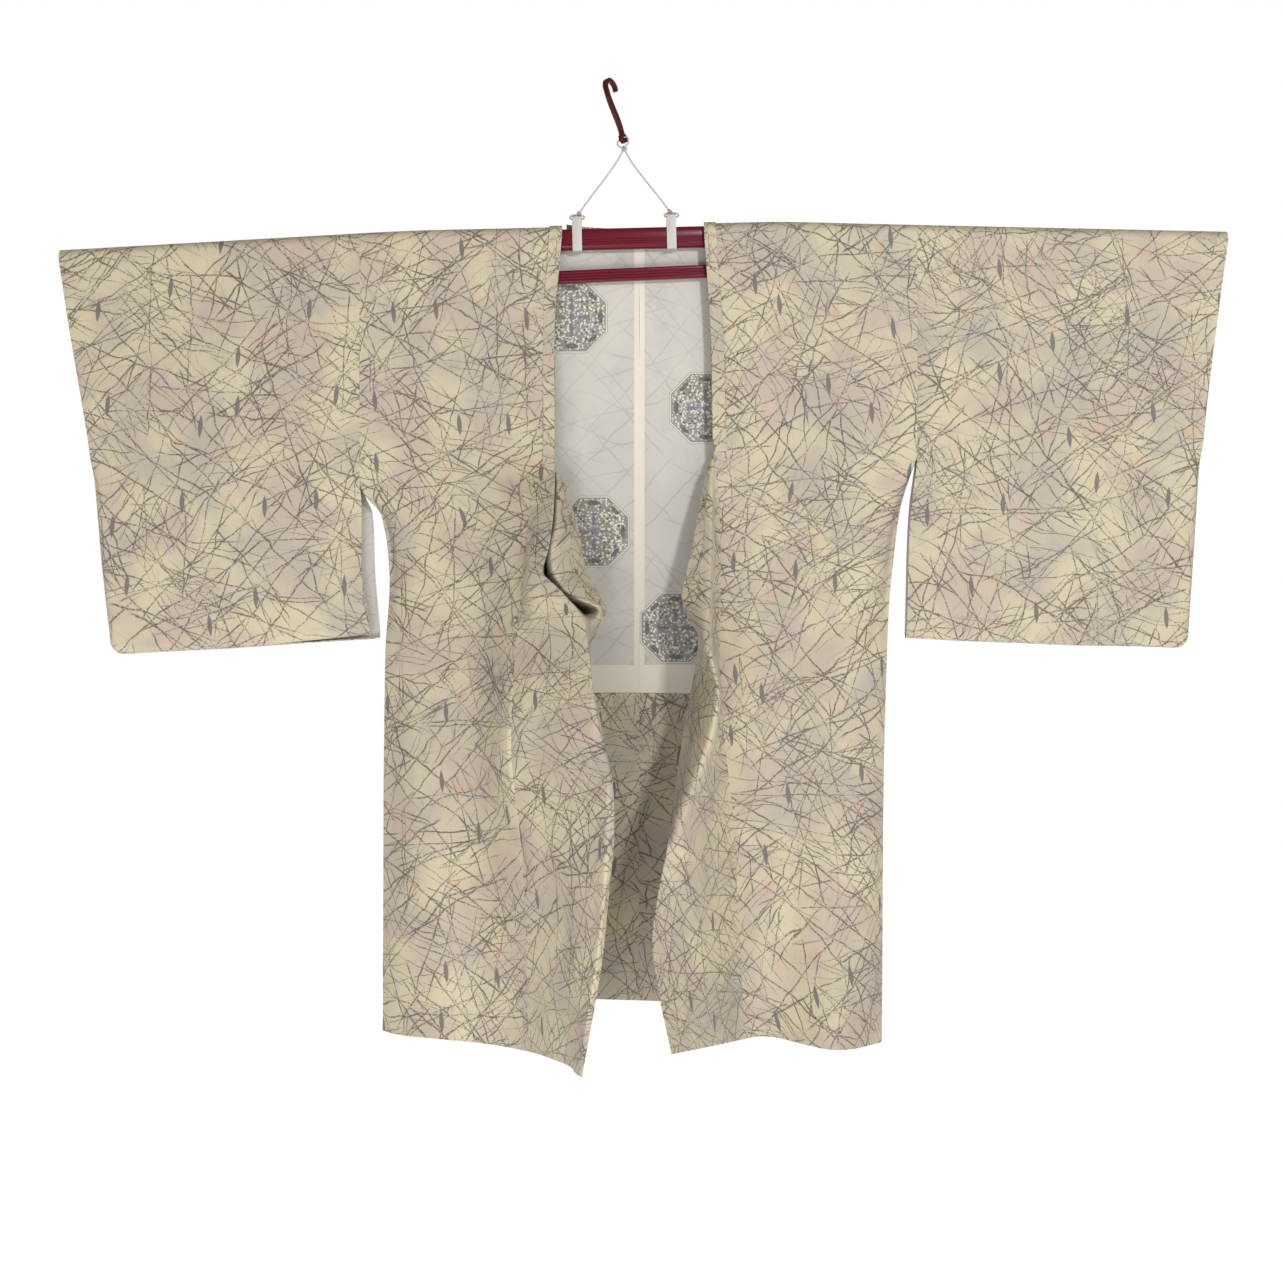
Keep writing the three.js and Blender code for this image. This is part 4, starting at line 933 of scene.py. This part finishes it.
def rope(name, keys, radius, count, closed=False):
    """A tube: a circle carried along a cubic through key points, square to it, with a shallow twist of
    strands round it."""
    far = np.concatenate([[0], np.cumsum(np.linalg.norm(np.diff(keys, axis=0), axis=1))])
    at = np.linspace(0, far[-1], count)
    line = smooth(far, keys, at)
    along = np.gradient(line, axis=0)
    along /= np.linalg.norm(along, axis=1, keepdims=True)
    aside = np.cross(along, (0.13, 1, 0.21))
    aside /= np.linalg.norm(aside, axis=1, keepdims=True)
    up = np.cross(aside, along)
    turn = np.linspace(0, 2 * math.pi, 13)[:-1]
    swell = radius * (0.96 + 0.04 * np.cos(3 * turn[None, :] - at[:, None] * 2.2))
    ring = aside[:, None] * np.cos(turn)[None, :, None] + up[:, None] * np.sin(turn)[None, :, None]
    places = (line[:, None] + ring * swell[..., None]).reshape(-1, 3) / 1000
    rows, sides = count, len(turn)
    spans = np.arange(rows if closed else rows - 1)
    i, j = (a.ravel() for a in np.meshgrid(spans, np.arange(sides), indexing="ij"))
    here, there = i * sides, ((i + 1) % rows) * sides
    quads = np.column_stack([here + j, here + (j + 1) % sides, there + (j + 1) % sides, there + j]).tolist()
    if not closed:
        quads += [list(range(sides))[::-1], list(range((rows - 1) * sides, rows * sides))]
    mesh = bpy.data.meshes.new(name)
    mesh.from_pydata(places.tolist(), [], quads)
    mesh.materials.append(cord_cotton)
    mesh.shade_smooth()
    piece = bpy.data.objects.new(name, mesh)
    bpy.context.scene.collection.objects.link(piece)
    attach(piece, "root")
    return piece, line / 1000


cord_cotton, tree, shader = new_finish("grey_cotton", 0.85, 0.3)
place = step(tree, "ShaderNodeTexCoord").outputs["Object"]
wound = {"Vector": place, "Scale": 260.0, "Distortion": 1.5}
strands = step(tree, "ShaderNodeTexWave", wound, bands_direction="DIAGONAL")
# Painted shade: the colour follows the strands' bump, darker where it sinks into the grooves between the
# strands.
tone = blended(tree, strands.outputs["Fac"], (0.36, 0.33, 0.33), (0.43, 0.4, 0.4))
tree.links.new(tone, shader.inputs["Base Color"])
bump = step(tree, "ShaderNodeBump", {"Height": strands.outputs["Fac"], "Strength": 0.12, "Distance": 0.0003})
tree.links.new(bump.outputs[0], shader.inputs["Normal"])

cord, cord_path = rope("cord_run", route, CORD_RADIUS, 260)


def knot(name, centre, size):
    """A few turns of cord drawn tight: a torus knot wound round a small ball, x = (2 + cos 3t) cos 2t."""
    t = np.linspace(0, 2 * math.pi, 49)[:-1]
    out = size * 0.3 * (2 + np.cos(3 * t))
    turns = np.column_stack([out * np.cos(2 * t), size * 0.45 * np.sin(3 * t), out * np.sin(2 * t)])
    return rope(name, turns + centre, CORD_RADIUS, 96, closed=True)[0]


knots = [knot("cord_knot", (16.8, 0, -74.6), 3.0)]
for i, (x, drop) in enumerate([(-33.6, 147.4), (68, 144.9)], 1):
    knots.append(knot(f"cord_end_{i}", (x, 0, -drop), 2.4))
t = np.linspace(0, 2 * math.pi, 41)[:-1]
for i, (x, drop) in enumerate([(-35.6, 151.6), (70, 149.1)], 1):
    loop = np.column_stack([x + 8.1 * np.cos(t), 0.2 * np.sin(2 * t), -drop + 2.75 * np.sin(t)])
    knots.append(rope(f"cord_loop_{i}", loop, CORD_RADIUS, 80, closed=True)[0])
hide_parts("cord")

boxes = {"cad": cad_box, "visual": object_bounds()}
boxes = {name: [list(map(float, corner)) for corner in box] for name, box in boxes.items()}
